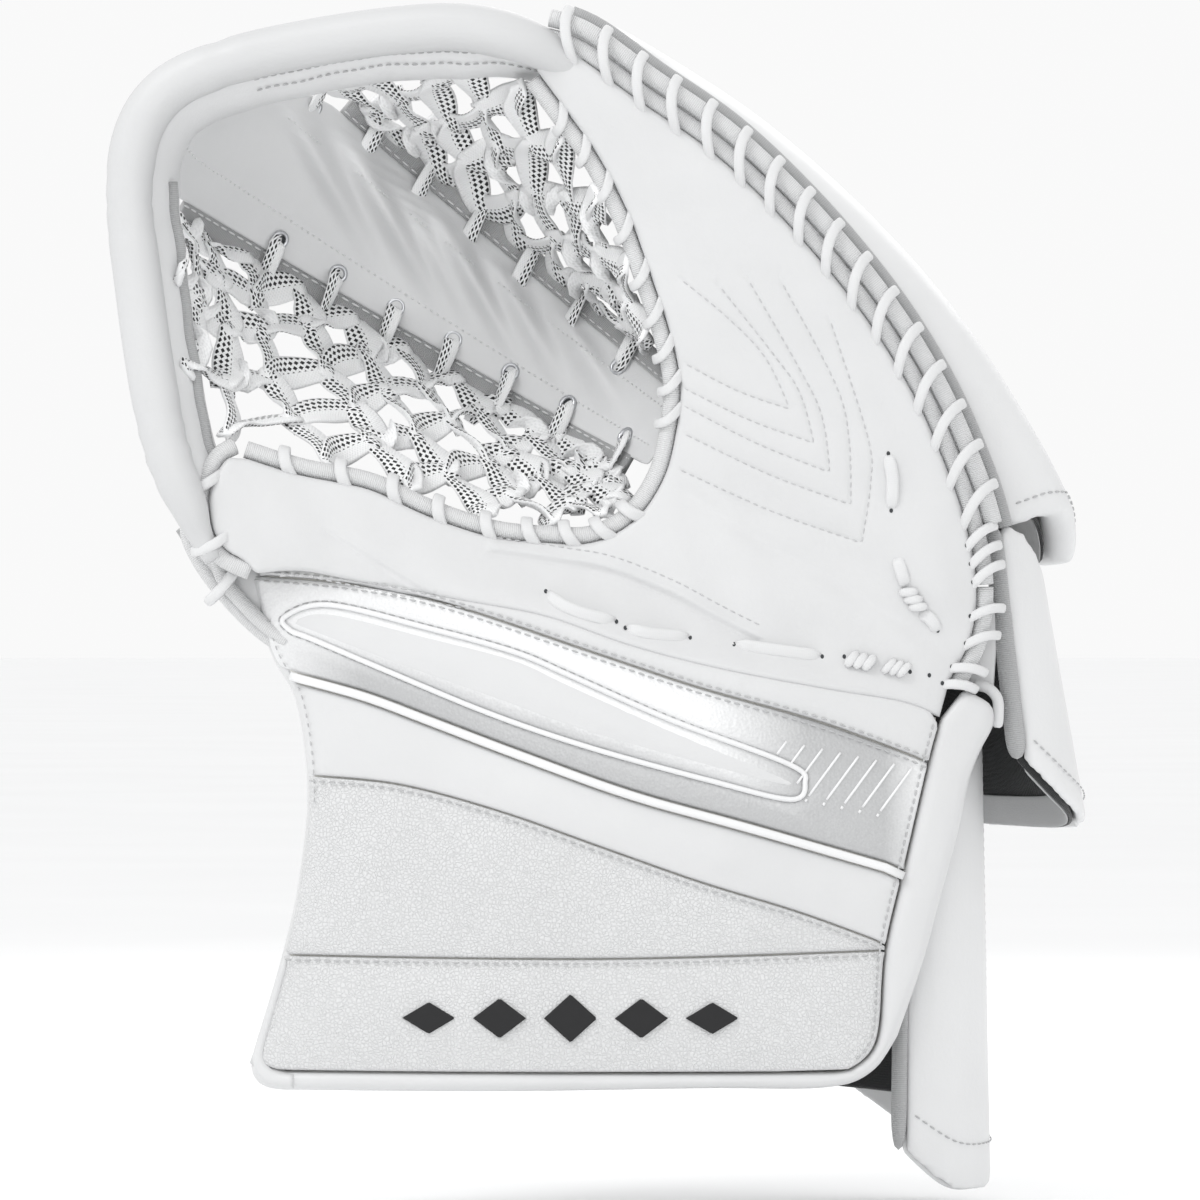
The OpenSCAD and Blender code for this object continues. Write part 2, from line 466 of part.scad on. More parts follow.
// Flat band between two distances behind a path of [x, y]
function band(path, from, to) = concat(shift(path, to), flip(shift(path, from)));
module hand_back_panel() color("black") intersection() {
    slab(back_outline);
    translate([0, 0, -20]) linear_extrude(240) polygon(band(curve(back_wall, 16), 0, 4));
}
strap_levels = [62, 118];
strap_t = 1.8;
bar_r = 1.6;
bar_x = -64;
bar_y = 12;
ring_gap = 16; // distance between a ring's two bars
patch_t = 1.6;
curl_r = bar_r + 0.5 + strap_t / 2;
// The strap curls round its ring's bar, then lies along the wall behind the hand
strap_path = concat([for (a = [330:-24:90]) [bar_x + curl_r * cos(a), bar_y + curl_r * sin(a)]],
    [[-50, 16.5], [-30, 20.5], [-10, 24]],
    shift(curve(back_wall, 12, 0.24, 0.48), 4.3 + patch_t + 0.6 + strap_t / 2));
module at_straps() for (z = strap_levels) translate([0, 0, z]) children();
module strap(z) translate([0, 0, z - strap_w / 2]) linear_extrude(strap_w)
    polygon(band(strap_path, -strap_t / 2, strap_t / 2));
module wrist_strap() color("black") strap(strap_levels[0]);
module hand_strap() color("black") strap(strap_levels[1]);
module strap_patches() color("dimgray") at_straps() translate([0, 0, -strap_w / 2]) linear_extrude(strap_w)
    polygon(band(curve(back_wall, 12, 0.26, 0.56), 4.3, 4.3 + patch_t));
module strap_rings() color("silver") at_straps() union() {
    for (y = [bar_y - ring_gap, bar_y]) translate([bar_x, y, -strap_w / 2 - 3])
        cylinder(h = strap_w + 6, r = bar_r, $fn = 32);
    for (z = [-strap_w / 2 - 3, strap_w / 2 + 3]) translate([bar_x, bar_y + bar_r, z]) rotate([90, 0, 0])
        cylinder(h = ring_gap + 2 * bar_r, r = bar_r, $fn = 32);
}
module strap_tabs() color("dimgray") at_straps() translate([0, 0, -strap_w / 2])
    linear_extrude(strap_w) difference() {
        union() {
            translate([bar_x, bar_y - ring_gap]) circle(bar_r + 0.3 + strap_t, $fn = 40);
            translate([bar_x - strap_t / 2, -37.5]) square([strap_t, 31]);
            polygon([[-78, -37.3], [-64, -38.1], [-50, -38.8], [-50, -37], [-64, -36.2], [-78, -35.4]]);
        }
        translate([bar_x, bar_y - ring_gap]) circle(bar_r + 0.3, $fn = 40);
    }

cuff_board();
cuff_liner();
cuff_base_panel();
cuff_grain_panel();
cuff_smooth_stripe();
cuff_sheen_panel();
cuff_window_inlay();
cuff_top_strip();
cuff_piping();
cuff_binding();
cuff_emblem();
palm_skin_thumb();
palm_foam_thumb();
thumb_board();
thumb_liner();
palm_crease();
thumb_back_pad();
thumb_pad_binding();
thumb_edge_binding();
thumb_edge_lace();
thumb_pad_liner();
palm_laces();
pocket_binding();
pocket_lace_thumb();
lower_net();
tee_front();
tee_back();
tee_binding_lower();
tee_binding_upper();
tee_eyelets();
perimeter_roll();
perimeter_band();
heel_edge_binding();
heel_edge_lace();
palm_skin_finger();
palm_foam_finger();
finger_board();
finger_liner();
pocket_lace_finger();
upper_net();
palm_edge_binding();
backhand_edge_binding();
edge_lace();
backhand_pad();
backhand_pad_binding();
backhand_liner();
finger_dividers();
wrist_guard();
wrist_guard_liner();
wrist_guard_binding();
cuff_guard();
cuff_guard_liner();
cuff_guard_binding();
hand_back_panel();
wrist_strap();
hand_strap();
strap_patches();
strap_rings();
strap_tabs();
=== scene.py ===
import math
from collections import defaultdict

import bpy
import numpy as np
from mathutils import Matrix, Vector, geometry


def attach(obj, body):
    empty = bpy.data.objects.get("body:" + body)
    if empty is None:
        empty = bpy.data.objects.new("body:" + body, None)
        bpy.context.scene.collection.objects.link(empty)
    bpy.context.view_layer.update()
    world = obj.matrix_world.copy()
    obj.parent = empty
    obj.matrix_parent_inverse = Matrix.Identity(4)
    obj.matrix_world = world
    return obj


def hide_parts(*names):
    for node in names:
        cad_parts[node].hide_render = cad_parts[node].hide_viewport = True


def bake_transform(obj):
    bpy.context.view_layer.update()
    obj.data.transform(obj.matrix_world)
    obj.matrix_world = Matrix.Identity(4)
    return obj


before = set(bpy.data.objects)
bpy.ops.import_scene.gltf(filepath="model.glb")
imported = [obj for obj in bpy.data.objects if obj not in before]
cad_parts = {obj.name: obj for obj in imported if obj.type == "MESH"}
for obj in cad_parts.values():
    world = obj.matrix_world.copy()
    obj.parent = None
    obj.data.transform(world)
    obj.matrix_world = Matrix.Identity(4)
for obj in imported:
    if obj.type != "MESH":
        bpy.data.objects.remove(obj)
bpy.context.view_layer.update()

# ---------------------------------------------------------------- frame and curves, in mm
PALM_R, PALM_Y = 400.0, -42.0
CUFF_R, CUFF_Y = 500.0, -58.0
TILT = math.radians(35)
CX, CZ = 17.0, 228.0
TEE_MID, TEE_REACH, TEE_SAG, TEE_END = -88.0, 100.0, 72.0, -24.0
TEE_R = (TEE_REACH**2 + TEE_SAG**2) / (2 * TEE_SAG)
TEE_TURN, TEE_START, TEE_HALF = -184.0, 8.0, 30.0
THUMB, FINGER = "thumb_side", "finger_side"
UP = (0, 0, 1)

POCKET = [(-124, 219), (-102, 212), (-78, 207), (-58, 198), (-37, 191), (-19, 189), (-3, 189), (10, 196),
          (19, 209), (23, 224), (24.5, 240), (21, 257), (15, 275), (7, 297), (-3, 316), (-14, 331.5),
          (-24, 345)]
OUTER = [(-22, 359), (-7, 354), (14, 339), (41, 320), (68, 294), (92, 265), (109, 238), (120, 214),
         (127, 194), (131, 173), (129, 153), (121, 137)]
FOOT = [(116, 127), (102, 132), (78, 136), (41, 143), (10, 151), (-19, 161), (-51, 167), (-85, 174),
        (-102, 177), (-118, 176)]
THUMB_EDGE = [(-118, 176), (-128, 181), (-134, 190), (-135, 204), (-130, 215), (-124, 219)]
PERIMETER = [(-143, 207), (-148, 222), (-153, 248), (-157, 276), (-160, 303), (-157, 326), (-146, 341),
             (-125, 350), (-98, 356), (-70, 360), (-48, 361), (-31, 358)]
CUFF_LEFT = [(-118, 174), (-112, 150), (-103, 133), (-99, 102), (-102, 71), (-107, 48), (-115, 20), (-119, 8)]
CUFF_LOW = [(-119, 8), (-118, 4.4), (-115, 1.5), (-109.5, 0.1), (-98, 0), (-34, 0), (34, 1), (76, 1), (92, 6),
            (101, 18)]
CUFF_RIGHT = [(101, 18), (110, 44), (116, 66), (122, 88), (126, 106), (130, 116), (134, 124), (133, 131),
              (124, 136)]
CUFF_SEAM = [(84, 6.5), (94, 17), (97, 48), (104, 78), (112, 112), (116, 126)]
BASE_SEAM = [(-112, 46), (0, 45), (98, 47.6)]
GRAIN_SEAM = [(-99, 107), (-68, 104), (-34, 95), (0, 83), (34, 71), (68, 60.5), (99, 49)]
STRIPE_SEAM = [(-107, 139.5), (-81, 132.5), (-58, 124), (-29, 113), (10, 99), (51, 87.5), (106, 71.5)]
SHEEN_SEAM = [(-119, 175), (-85, 172), (-51, 165), (0, 148), (34, 136.7), (75, 125), (113, 111)]
WINDOW_OUT = [(-107, 161), (-92, 165), (-58, 157), (-29, 149), (-10, 141), (24, 126), (64, 111),
              (69.5, 104.5),
              (64.5, 99), (37, 105.5), (-3, 116.5), (-37, 128), (-71, 142), (-97, 153), (-105.5, 156.5)]
WINDOW_IN = [(-104.3, 160), (-92, 162.4), (-58, 154.4), (-29, 146.7), (-10, 138.2), (24, 123.3), (62, 107.5),
             (65.6, 104.2), (62.5, 103), (37.4, 109.4), (-3.4, 121), (-37.4, 133.2), (-71.4, 145.3),
             (-97, 155), (-103, 157.6)]


def arr(p):
    return np.array(p, float)


def unit(v):
    v = arr(v)
    return v / (np.linalg.norm(v, axis=-1, keepdims=True) + 1e-9)


def travel(path):
    """How far along a path each of its points is."""
    return np.concatenate([[0], np.cumsum(np.linalg.norm(np.diff(path, axis=0), axis=1))])


def looped(path):
    return np.vstack([path, path[:1]])


def smooth_step(p0, p1, p2, p3, t):
    """A point of the smooth curve from p1 to p2."""
    return 0.5 * (2 * p1 + (p2 - p0) * t + (2 * p0 - 5 * p1 + 4 * p2 - p3) * t * t
                  + (3 * p1 - p0 - 3 * p2 + p3) * t**3)


def spline(points, n, a=0.0, b=1.0):
    """n + 1 points of a smooth curve through points, from share a to share b of its control points."""
    p = arr(points)
    k = len(p) - 1
    out = []
    for i in range(n + 1):
        f = min(max(a + (b - a) * i / n, 0), 1) * k
        j = min(int(f), k - 1)
        out.append(smooth_step(p[max(j - 1, 0)], p[j], p[j + 1], p[min(j + 2, k)], f - j))
    return np.array(out)


def loop_curve(points, k):
    """A closed smooth curve through points, with k points for each."""
    p = arr(points)
    n = len(p)
    return np.array([smooth_step(p[i - 1], p[i], p[(i + 1) % n], p[(i + 2) % n], j / k)
                     for i in range(n) for j in range(k)])


def even(path, step=None, n=None):
    """The same path with points about step apart, or in n equal steps."""
    p = arr(path)
    d = travel(p)
    n = n or max(2, int(round(d[-1] / step)))
    s = np.linspace(0, d[-1], n + 1)
    return np.stack([np.interp(s, d, p[:, i]) for i in range(p.shape[1])], 1)


def normals2(path):
    t = unit(np.gradient(arr(path), axis=0))
    return np.stack([-t[:, 1], t[:, 0]], 1)


def shift(path, d):
    return arr(path) + d * normals2(path)


def across(x, z):
    """Distance from the crease line, towards the finger side."""
    return (x - CX) * math.sin(TILT) + (z - CZ) * math.cos(TILT)


def along(x, z):
    return (x - CX) * math.cos(TILT) - (z - CZ) * math.sin(TILT)


def place(s, u):
    return CX + s * math.cos(TILT) + u * math.sin(TILT), CZ - s * math.sin(TILT) + u * math.cos(TILT)


def palm_y(x, z):
    return PALM_Y - PALM_R + np.sqrt(PALM_R**2 - across(x, z) ** 2)


def cuff_y(x, z=0):
    return CUFF_Y + CUFF_R - np.sqrt(CUFF_R**2 - np.asarray(x, float) ** 2)


def lift(path, dy, on=palm_y):
    """A flat path (x, z) laid dy behind the palm or the cuff."""
    p = arr(path)
    return np.stack([p[:, 0], on(p[:, 0], p[:, 1]) + dy, p[:, 1]], 1)


def on_cuff(path, dy):
    return lift(path, dy, cuff_y)


def tee_y(s):
    beyond = np.maximum(TEE_TURN - np.asarray(s, float), 0)
    s = np.maximum(s, TEE_TURN)
    return -0.9 * beyond + TEE_END + TEE_SAG - TEE_R + np.sqrt(np.maximum(TEE_R**2 - (s - TEE_MID) ** 2, 1))


def tee_half(s):
    return 12.5 + 17.5 * np.clip((TEE_START - s) / 190, 0, 1)


def tee_end(u):
    return -201 + (u + 2) ** 2 / (22 if u > -2 else 38)


def tee_point(t, v, dy=0.0, wide=0.0):
    """A point of the tee: t from its far end to the heel, v from edge to edge."""
    s = tee_end(v * TEE_HALF) + (TEE_START - tee_end(v * TEE_HALF)) * t
    u = v * tee_half(s) + np.sign(v) * wide
    x, z = place(s, u)
    return np.array([x, tee_y(s) + dy, z])


def dist_open(pts, line):
    """Distance from each point to an open polyline, in 2D."""
    a, b = line[:-1], line[1:]
    d = b - a
    ap = pts[:, None, :] - a[None]
    t = np.clip((ap * d).sum(2) / ((d * d).sum(1) + 1e-12), 0, 1)
    return np.sqrt((((ap - t[..., None] * d) ** 2).sum(2)).min(1))


def dist_loop(pts, line):
    return dist_open(pts, looped(line))


def inside(pts, poly):
    x, y = pts[:, 0][:, None], pts[:, 1][:, None]
    a, b = poly, np.roll(poly, -1, 0)
    cond = (a[:, 1] > y) != (b[:, 1] > y)
    xs = (b[:, 0] - a[:, 0]) * (y - a[:, 1]) / (b[:, 1] - a[:, 1] + 1e-12) + a[:, 0]
    return (np.sum(cond & (x < xs), 1) % 2) == 1


def bell(x, mid, width):
    return np.exp(-((x - mid) / width) ** 2)


# ---------------------------------------------------------------- materials
class Nodes:
    """A material's node tree. Lengths in it are metres, apart from UVs, which are mm."""

    def __init__(self, name):
        self.mat = bpy.data.materials.new(name)
        self.mat.use_nodes = True
        self.t = self.mat.node_tree
        self.bsdf = self.t.nodes["Principled BSDF"]
        self.place = self.add("ShaderNodeTexCoord")
        self.normal = None

    def add(self, kind, **kw):
        n = self.t.nodes.new(kind)
        for k, v in kw.items():
            if k in n.inputs.keys():
                n.inputs[k].default_value = v
            else:
                setattr(n, k, v)
        return n

    def link(self, a, b):
        self.t.links.new(a, b)

    def ramp(self, src, stops):
        r = self.add("ShaderNodeValToRGB")
        e = r.color_ramp.elements
        e[0].position, e[0].color = stops[0][0], (*stops[0][1], 1)
        e[1].position, e[1].color = stops[-1][0], (*stops[-1][1], 1)
        for p, c in stops[1:-1]:
            e.new(p).color = (*c, 1)
        self.link(src, r.inputs["Fac"])
        return r.outputs["Color"]

    def fade(self, src, end):
        """Black to white as src goes from 0 to end."""
        return self.ramp(src, [(0.0, (0, 0, 0)), (end, (1, 1, 1))])

    def math(self, op, *values):
        n = self.add("ShaderNodeMath", operation=op)
        for i, v in enumerate(values):
            if isinstance(v, (int, float)):
                n.inputs[i].default_value = v
            else:
                self.link(v, n.inputs[i])
        return n.outputs[0]

    def mul(self, a, b):
        return self.math("MULTIPLY", a, b)

    def plus(self, a, b):
        return self.math("ADD", a, b)

    def minus(self, a, b):
        return self.math("SUBTRACT", a, b)

    def wave(self, x, pitch):
        return self.math("SINE", self.mul(x, 2 * math.pi / pitch))

    def coord(self):
        return self.place.outputs["Object"]

    def split(self, kind):
        """X, Y and Z of the object coordinates, or U and V."""
        n = self.add("ShaderNodeSeparateXYZ")
        self.link(self.place.outputs[kind], n.inputs[0])
        return n.outputs

    def noise(self, scale, detail=3.0, rough=0.5):
        n = self.add("ShaderNodeTexNoise", Scale=scale, Detail=detail, Roughness=rough)
        self.link(self.coord(), n.inputs["Vector"])
        return n.outputs["Fac"]

    def bump(self, height, strength, dist):
        b = self.add("ShaderNodeBump", Strength=strength, Distance=dist)
        self.link(height, b.inputs["Height"])
        if self.normal is not None:
            self.link(self.normal, b.inputs["Normal"])
        self.normal = b.outputs["Normal"]
        self.link(self.normal, self.bsdf.inputs["Normal"])

    def color(self, c):
        self.link(c, self.bsdf.inputs["Base Color"])

    def set(self, **kw):
        for k, v in kw.items():
            self.bsdf.inputs[k.replace("_", " ")].default_value = v


def grey(v, blue=0.008):
    return (v, v + blue * 0.5, v + blue)


def leather(name, tone, rough=0.42, grain=0.0, scale=1.0):
    m = Nodes(name)
    m.color(m.ramp(m.noise(18, 3, 0.55), [(0.3, grey(tone * 0.955)), (0.7, grey(tone))]))
    m.bump(m.noise(1500 * scale, 4, 0.6), 0.12, 0.0004)
    m.bump(m.noise(60, 4, 0.62), 0.16, 0.0025)
    if grain:
        # pebbles: cells with their edges pushed about by noise
        v = m.add("ShaderNodeTexVoronoi", feature="DISTANCE_TO_EDGE", Scale=780.0)
        w = m.add("ShaderNodeVectorMath", operation="MULTIPLY_ADD")
        n = m.add("ShaderNodeTexNoise", Scale=500.0, Detail=2.0)
        m.link(m.coord(), n.inputs["Vector"])
        m.link(n.outputs["Color"], w.inputs[0])
        w.inputs[1].default_value = (0.0012, 0.0012, 0.0012)
        m.link(m.coord(), w.inputs[2])
        m.link(w.outputs[0], v.inputs["Vector"])
        pebble = m.ramp(v.outputs["Distance"], [(0.0, (0, 0, 0)), (0.12, (0.8, 0.8, 0.8)), (0.4, (1, 1, 1))])
        m.bump(pebble, grain, 0.0006)
    worn = m.ramp(m.noise(40, 2), [(0.3, (rough - 0.05,) * 3), (0.7, (rough + 0.06,) * 3)])
    m.link(worn, m.bsdf.inputs["Roughness"])
    m.set(Coat_Weight=0.06, Coat_Roughness=0.35)
    return m.mat


def sheen_leather(name):
    """Silvery leather with painted shade: darker along its low edge and at its far end, where its sheen falls
    off.
    """
    m = Nodes(name)
    v = m.add("ShaderNodeTexVoronoi", Scale=900.0)
    m.link(m.coord(), v.inputs["Vector"])
    x, _, z = m.split("Object")
    # painted shade: the low, far, near and edge masks darken the panel where its reflection falls off, along
    # the low edge and towards the far end
    slope = m.plus(z, m.mul(x, 0.33))
    low = m.fade(m.mul(m.minus(0.126, slope), 60.0), 0.7)
    far = m.fade(m.mul(m.minus(x, 0.036), 26.0), 0.9)
    near = m.fade(m.mul(m.plus(x, 0.112), 26.0), 0.8)
    edge = m.fade(m.mul(m.minus(0.108, x), 70.0), 0.8)
    dark = m.mul(m.mul(m.math("MAXIMUM", low, far), near), edge)
    dark = m.plus(m.mul(dark, 0.85), m.mul(m.noise(26, 3), 0.16))
    speck = m.mul(m.minus(m.noise(1400, 2), 0.5), 0.35)
    m.color(m.ramp(m.plus(dark, speck), [(0.05, grey(0.78)), (0.95, grey(0.46))]))
    m.bump(v.outputs["Distance"], 0.2, 0.0005)
    m.bump(m.noise(30, 3), 0.1, 0.002)
    m.set(Metallic=0.3, Roughness=0.38)
    return m.mat


def ribbed(name, tone):
    """Grosgrain: ribs run across the tape; U is mm along it, V mm across."""
    m = Nodes(name)
    u, v, _ = m.split("UV")
    h = m.plus(m.mul(m.wave(u, 0.7), 0.5), m.mul(m.wave(v, 0.5), 0.16))
    h = m.plus(h, m.mul(m.noise(1800, 2), 0.5))
    m.color(m.ramp(m.plus(m.mul(h, 0.5), 0.4), [(0.1, grey(tone * 0.78)), (0.75, grey(tone))]))
    m.bump(h, 0.5, 0.0005)
    m.set(Roughness=0.72, Sheen_Weight=0.25, Sheen_Roughness=0.4)
    return m.mat


def lace_mat(name, tone, dots=False, width=10.0):
    """Flat woven lace. U is mm along it, V is 0 to 1 across the front and 1 to 2 across the back."""
    m = Nodes(name)
    u, v, _ = m.split("UV")
    w = m.mul(v, width)
    weave = m.mul(m.plus(m.wave(m.plus(u, w), 1.3), m.wave(m.minus(u, w), 1.3)), 0.5)
    base = m.ramp(m.plus(m.mul(weave, 0.5), 0.5), [(0.0, grey(tone * 0.9)), (0.6, grey(tone))])
    m.bump(weave, 0.28, 0.0004)
    if dots:
        # slanted black dashes, three rows wide, on one half of the front and one of the back
        pitch_u, pitch_v = 2.5, 1.55
        half = m.math("FRACT", v)
        on = m.mul(m.math("LESS_THAN", half, 0.55), m.math("GREATER_THAN", half, 0.05))
        row = m.math("DIVIDE", m.mul(half, width), pitch_v)
        cell = m.plus(m.math("DIVIDE", u, pitch_u), m.mul(m.math("FLOOR", row), 0.5))
        fu, fv = (m.math("ABSOLUTE", m.minus(m.math("FRACT", c), 0.5)) for c in (cell, row))
        spot = m.math("LESS_THAN", m.plus(fu, fv), 0.42)
        mix = m.add("ShaderNodeMix", data_type="RGBA")
        m.link(m.mul(spot, on), mix.inputs["Factor"])
        m.link(base, mix.inputs["A"])
        mix.inputs["B"].default_value = (*grey(0.008, 0.001), 1)
        base = mix.outputs["Result"]
    m.color(base)
    m.set(Roughness=0.7, Sheen_Weight=0.2, Sheen_Roughness=0.4)
    return m.mat


def cloth_mat(name, tone, pitch=0.9, rough=0.9):
    m = Nodes(name)
    x, y, z = m.split("Object")
    h = m.mul(m.wave(m.plus(x, y), pitch / 1000), m.wave(m.plus(z, y), pitch / 1000))
    m.color(m.ramp(m.plus(m.mul(h, 0.4), 0.5), [(0.1, grey(tone * 0.6, 0.002)), (0.9, grey(tone, 0.002))]))
    m.bump(h, 0.35, 0.0004)
    m.set(Roughness=rough, Sheen_Weight=0.3)
    return m.mat


def plain(name, color, rough=0.5, metal=0.0, bump=0.0, scale=400):
    m = Nodes(name)
    n = m.noise(scale, 3)
    m.color(m.ramp(n, [(0.3, tuple(c * 0.88 for c in color)), (0.7, color)]))
    if bump:
        m.bump(n, bump, 0.0004)
    m.set(Roughness=rough, Metallic=metal)
    return m.mat


def in_slot(mat):
    """Returns the material unchanged."""
    return mat


WHITE = in_slot(leather("smooth_leather", 0.66))
WHITE_SOFT = in_slot(leather("soft_leather", 0.65, 0.5, 0.0, 0.6))
WHITE_PAD = in_slot(leather("pad_leather", 0.74))
WHITE_ROLL = in_slot(leather("roll_leather", 0.60, 0.5, 0.0, 0.6))
TEE = in_slot(leather("tee_leather", 0.72, 0.4))
GRAIN = in_slot(leather("grain_leather", 0.68, 0.52, 0.55))
SHEEN = in_slot(sheen_leather("sheen_leather"))
PIPING = in_slot(leather("piping_leather", 0.80, 0.3))
RIB_GREY = in_slot(ribbed("grey_binding", 0.46))
RIB_WHITE = in_slot(ribbed("white_binding", 0.74))
RIB_DARK = in_slot(ribbed("dark_binding", 0.40))
LACE = in_slot(lace_mat("white_lace", 0.73, width=4.4))
LACE_DOTS = in_slot(lace_mat("dashed_lace", 0.90, dots=True, width=9.4))
THREAD = in_slot(plain("thread", grey(0.74), 0.6))
THREAD_SOFT = in_slot(plain("thread_soft", grey(0.56), 0.6))
THREAD_DIM = in_slot(plain("thread_grey", grey(0.50), 0.6))
METAL = in_slot(plain("eyelet_metal", (0.62, 0.63, 0.65), 0.3, 1.0, 0.05))
BLACK = in_slot(cloth_mat("black_lining", 0.028))
WEB = in_slot(cloth_mat("black_webbing", 0.04, 1.6))
FUZZ = in_slot(cloth_mat("hook_patch", 0.05, 1.1, 0.95))
FOAM = in_slot(plain("foam", (0.80, 0.79, 0.75), 0.9, 0.0, 0.4, 900))
BOARD = in_slot(plain("board_plastic", grey(0.10), 0.45))
INK = in_slot(plain("emblem", (0.008, 0.008, 0.009), 0.7, 0.0, 0.1))
# painted shade: near-black discs that stand for the shade in lace holes and eyelets
HOLE_SHADE = in_slot(plain("hole_painted_shade", grey(0.05), 0.9))


# ---------------------------------------------------------------- mesh building
def make(name, verts, faces, mat, body, nodes=None, slot=None, uv=None, smooth=True, sub=0, pad=None,
         blend=None, swell=None):
    """One piece, from points in mm. It replaces the CAD node of its own name, unless nodes says otherwise."""
    if nodes is None:
        nodes = [name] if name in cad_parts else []
    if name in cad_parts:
        name += "_shown"
    mesh = bpy.data.meshes.new(name)
    mesh.from_pydata([tuple(v) for v in arr(verts) * 0.001], [], [tuple(int(i) for i in f) for f in faces])
    mesh.validate()
    mesh.update()
    for p in mesh.polygons:
        p.use_smooth = smooth
    if uv is not None:
        layer = mesh.uv_layers.new(name="UVMap")
        layer.data.foreach_set("uv", np.asarray([c for f in uv for c in f], np.float32).ravel())
    mesh.materials.append(mat)
    ob = bpy.data.objects.new(name, mesh)
    bpy.context.scene.collection.objects.link(ob)
    if sub:
        choose(ob)
        subdivide(ob, sub)
    if swell:
        inflate(ob, *swell)
    if nodes:
        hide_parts(*nodes)
    if blend:
        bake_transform(ob)
    else:
        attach(ob, body)
    return ob


def choose(ob):
    for o in bpy.context.selected_objects:
        o.select_set(False)
    bpy.context.view_layer.objects.active = ob
    ob.select_set(True)


def subdivide(ob, levels):
    mod = ob.modifiers.new("smooth", "SUBSURF")
    mod.levels = mod.render_levels = levels
    bpy.ops.object.modifier_apply(modifier="smooth")


def crease_at(lo, hi):
    """Start and end, in metres, of a bend that runs from lo to hi mm across the crease line."""
    n = np.array([math.sin(TILT), 0, math.cos(TILT)])
    p = np.array([CX, -10, CZ])
    return tuple((p + n * lo) * 0.001), tuple((p + n * hi) * 0.001)


BREAK = crease_at(-15, 15)
ROLL_BREAK = crease_at(26, 56)


def flipped(faces):
    return [tuple(reversed(f)) for f in faces]


def oriented(verts, faces, uv=None):
    """A closed shape with its faces turned outwards."""
    v = arr(verts)
    vol = 0.0
    for f in faces:
        for i in range(1, len(f) - 1):
            vol += np.dot(v[f[0]], np.cross(v[f[i]], v[f[i + 1]]))
    if vol > 0:
        return v, faces, uv
    return v, flipped(faces), uv and [list(reversed(c)) for c in uv]


class Bag:
    """Several small shapes gathered into one mesh."""

    def __init__(self):
        self.v, self.f, self.uv, self.n = [], [], [], 0

    def add(self, verts, faces, uv=None):
        self.v.append(arr(verts))
        self.f += [tuple(i + self.n for i in f) for f in faces]
        self.uv += uv or [[(0, 0)] * len(f) for f in faces]
        self.n += len(verts)

    def tube(self, *args, **kw):
        self.add(*sweep_mesh(*args, **kw))

    def make(self, name, mat, body, **kw):
        return make(name, np.vstack(self.v), self.f, mat, body, uv=self.uv, **kw)


bags = defaultdict(Bag)


def triangulate(outline, extra, cell):
    """Triangles inside an outline, through its points and the extra ones: [(points, least gap), ...]."""
    base = [tuple(p) for p in outline]
    kept = {}

    def square(p):
        return int(p[0] // cell), int(p[1] // cell)

    def near(p, r):
        cx, cy = square(p)
        return any((q[0] - p[0]) ** 2 + (q[1] - p[1]) ** 2 < r * r
                   for i in range(cx - 1, cx + 2) for j in range(cy - 1, cy + 2)
                   for q in kept.get((i, j), ()))

    def keep(p):
        kept.setdefault(square(p), []).append(p)

    for p in base:
        keep(p)
    pts = list(base)
    for group, r in extra:
        for p in group:
            p = (float(p[0]), float(p[1]))
            if not near(p, r):
                keep(p)
                pts.append(p)
    n = len(base)
    edges = [(i, (i + 1) % n) for i in range(n)]
    v, _, f, *_ = geometry.delaunay_2d_cdt([Vector(p) for p in pts], edges, [list(range(n))], 1, 1e-4)
    return np.array([(p.x, p.y) for p in v]), [tuple(t) for t in f]


def pressed(y, p, seams):
    """Depths y with every seam pressed in: [(line, depth, width), ...]."""
    for line, depth, width in seams:
        y = y + depth * bell(dist_open(p, arr(line)), 0, width)
    return y


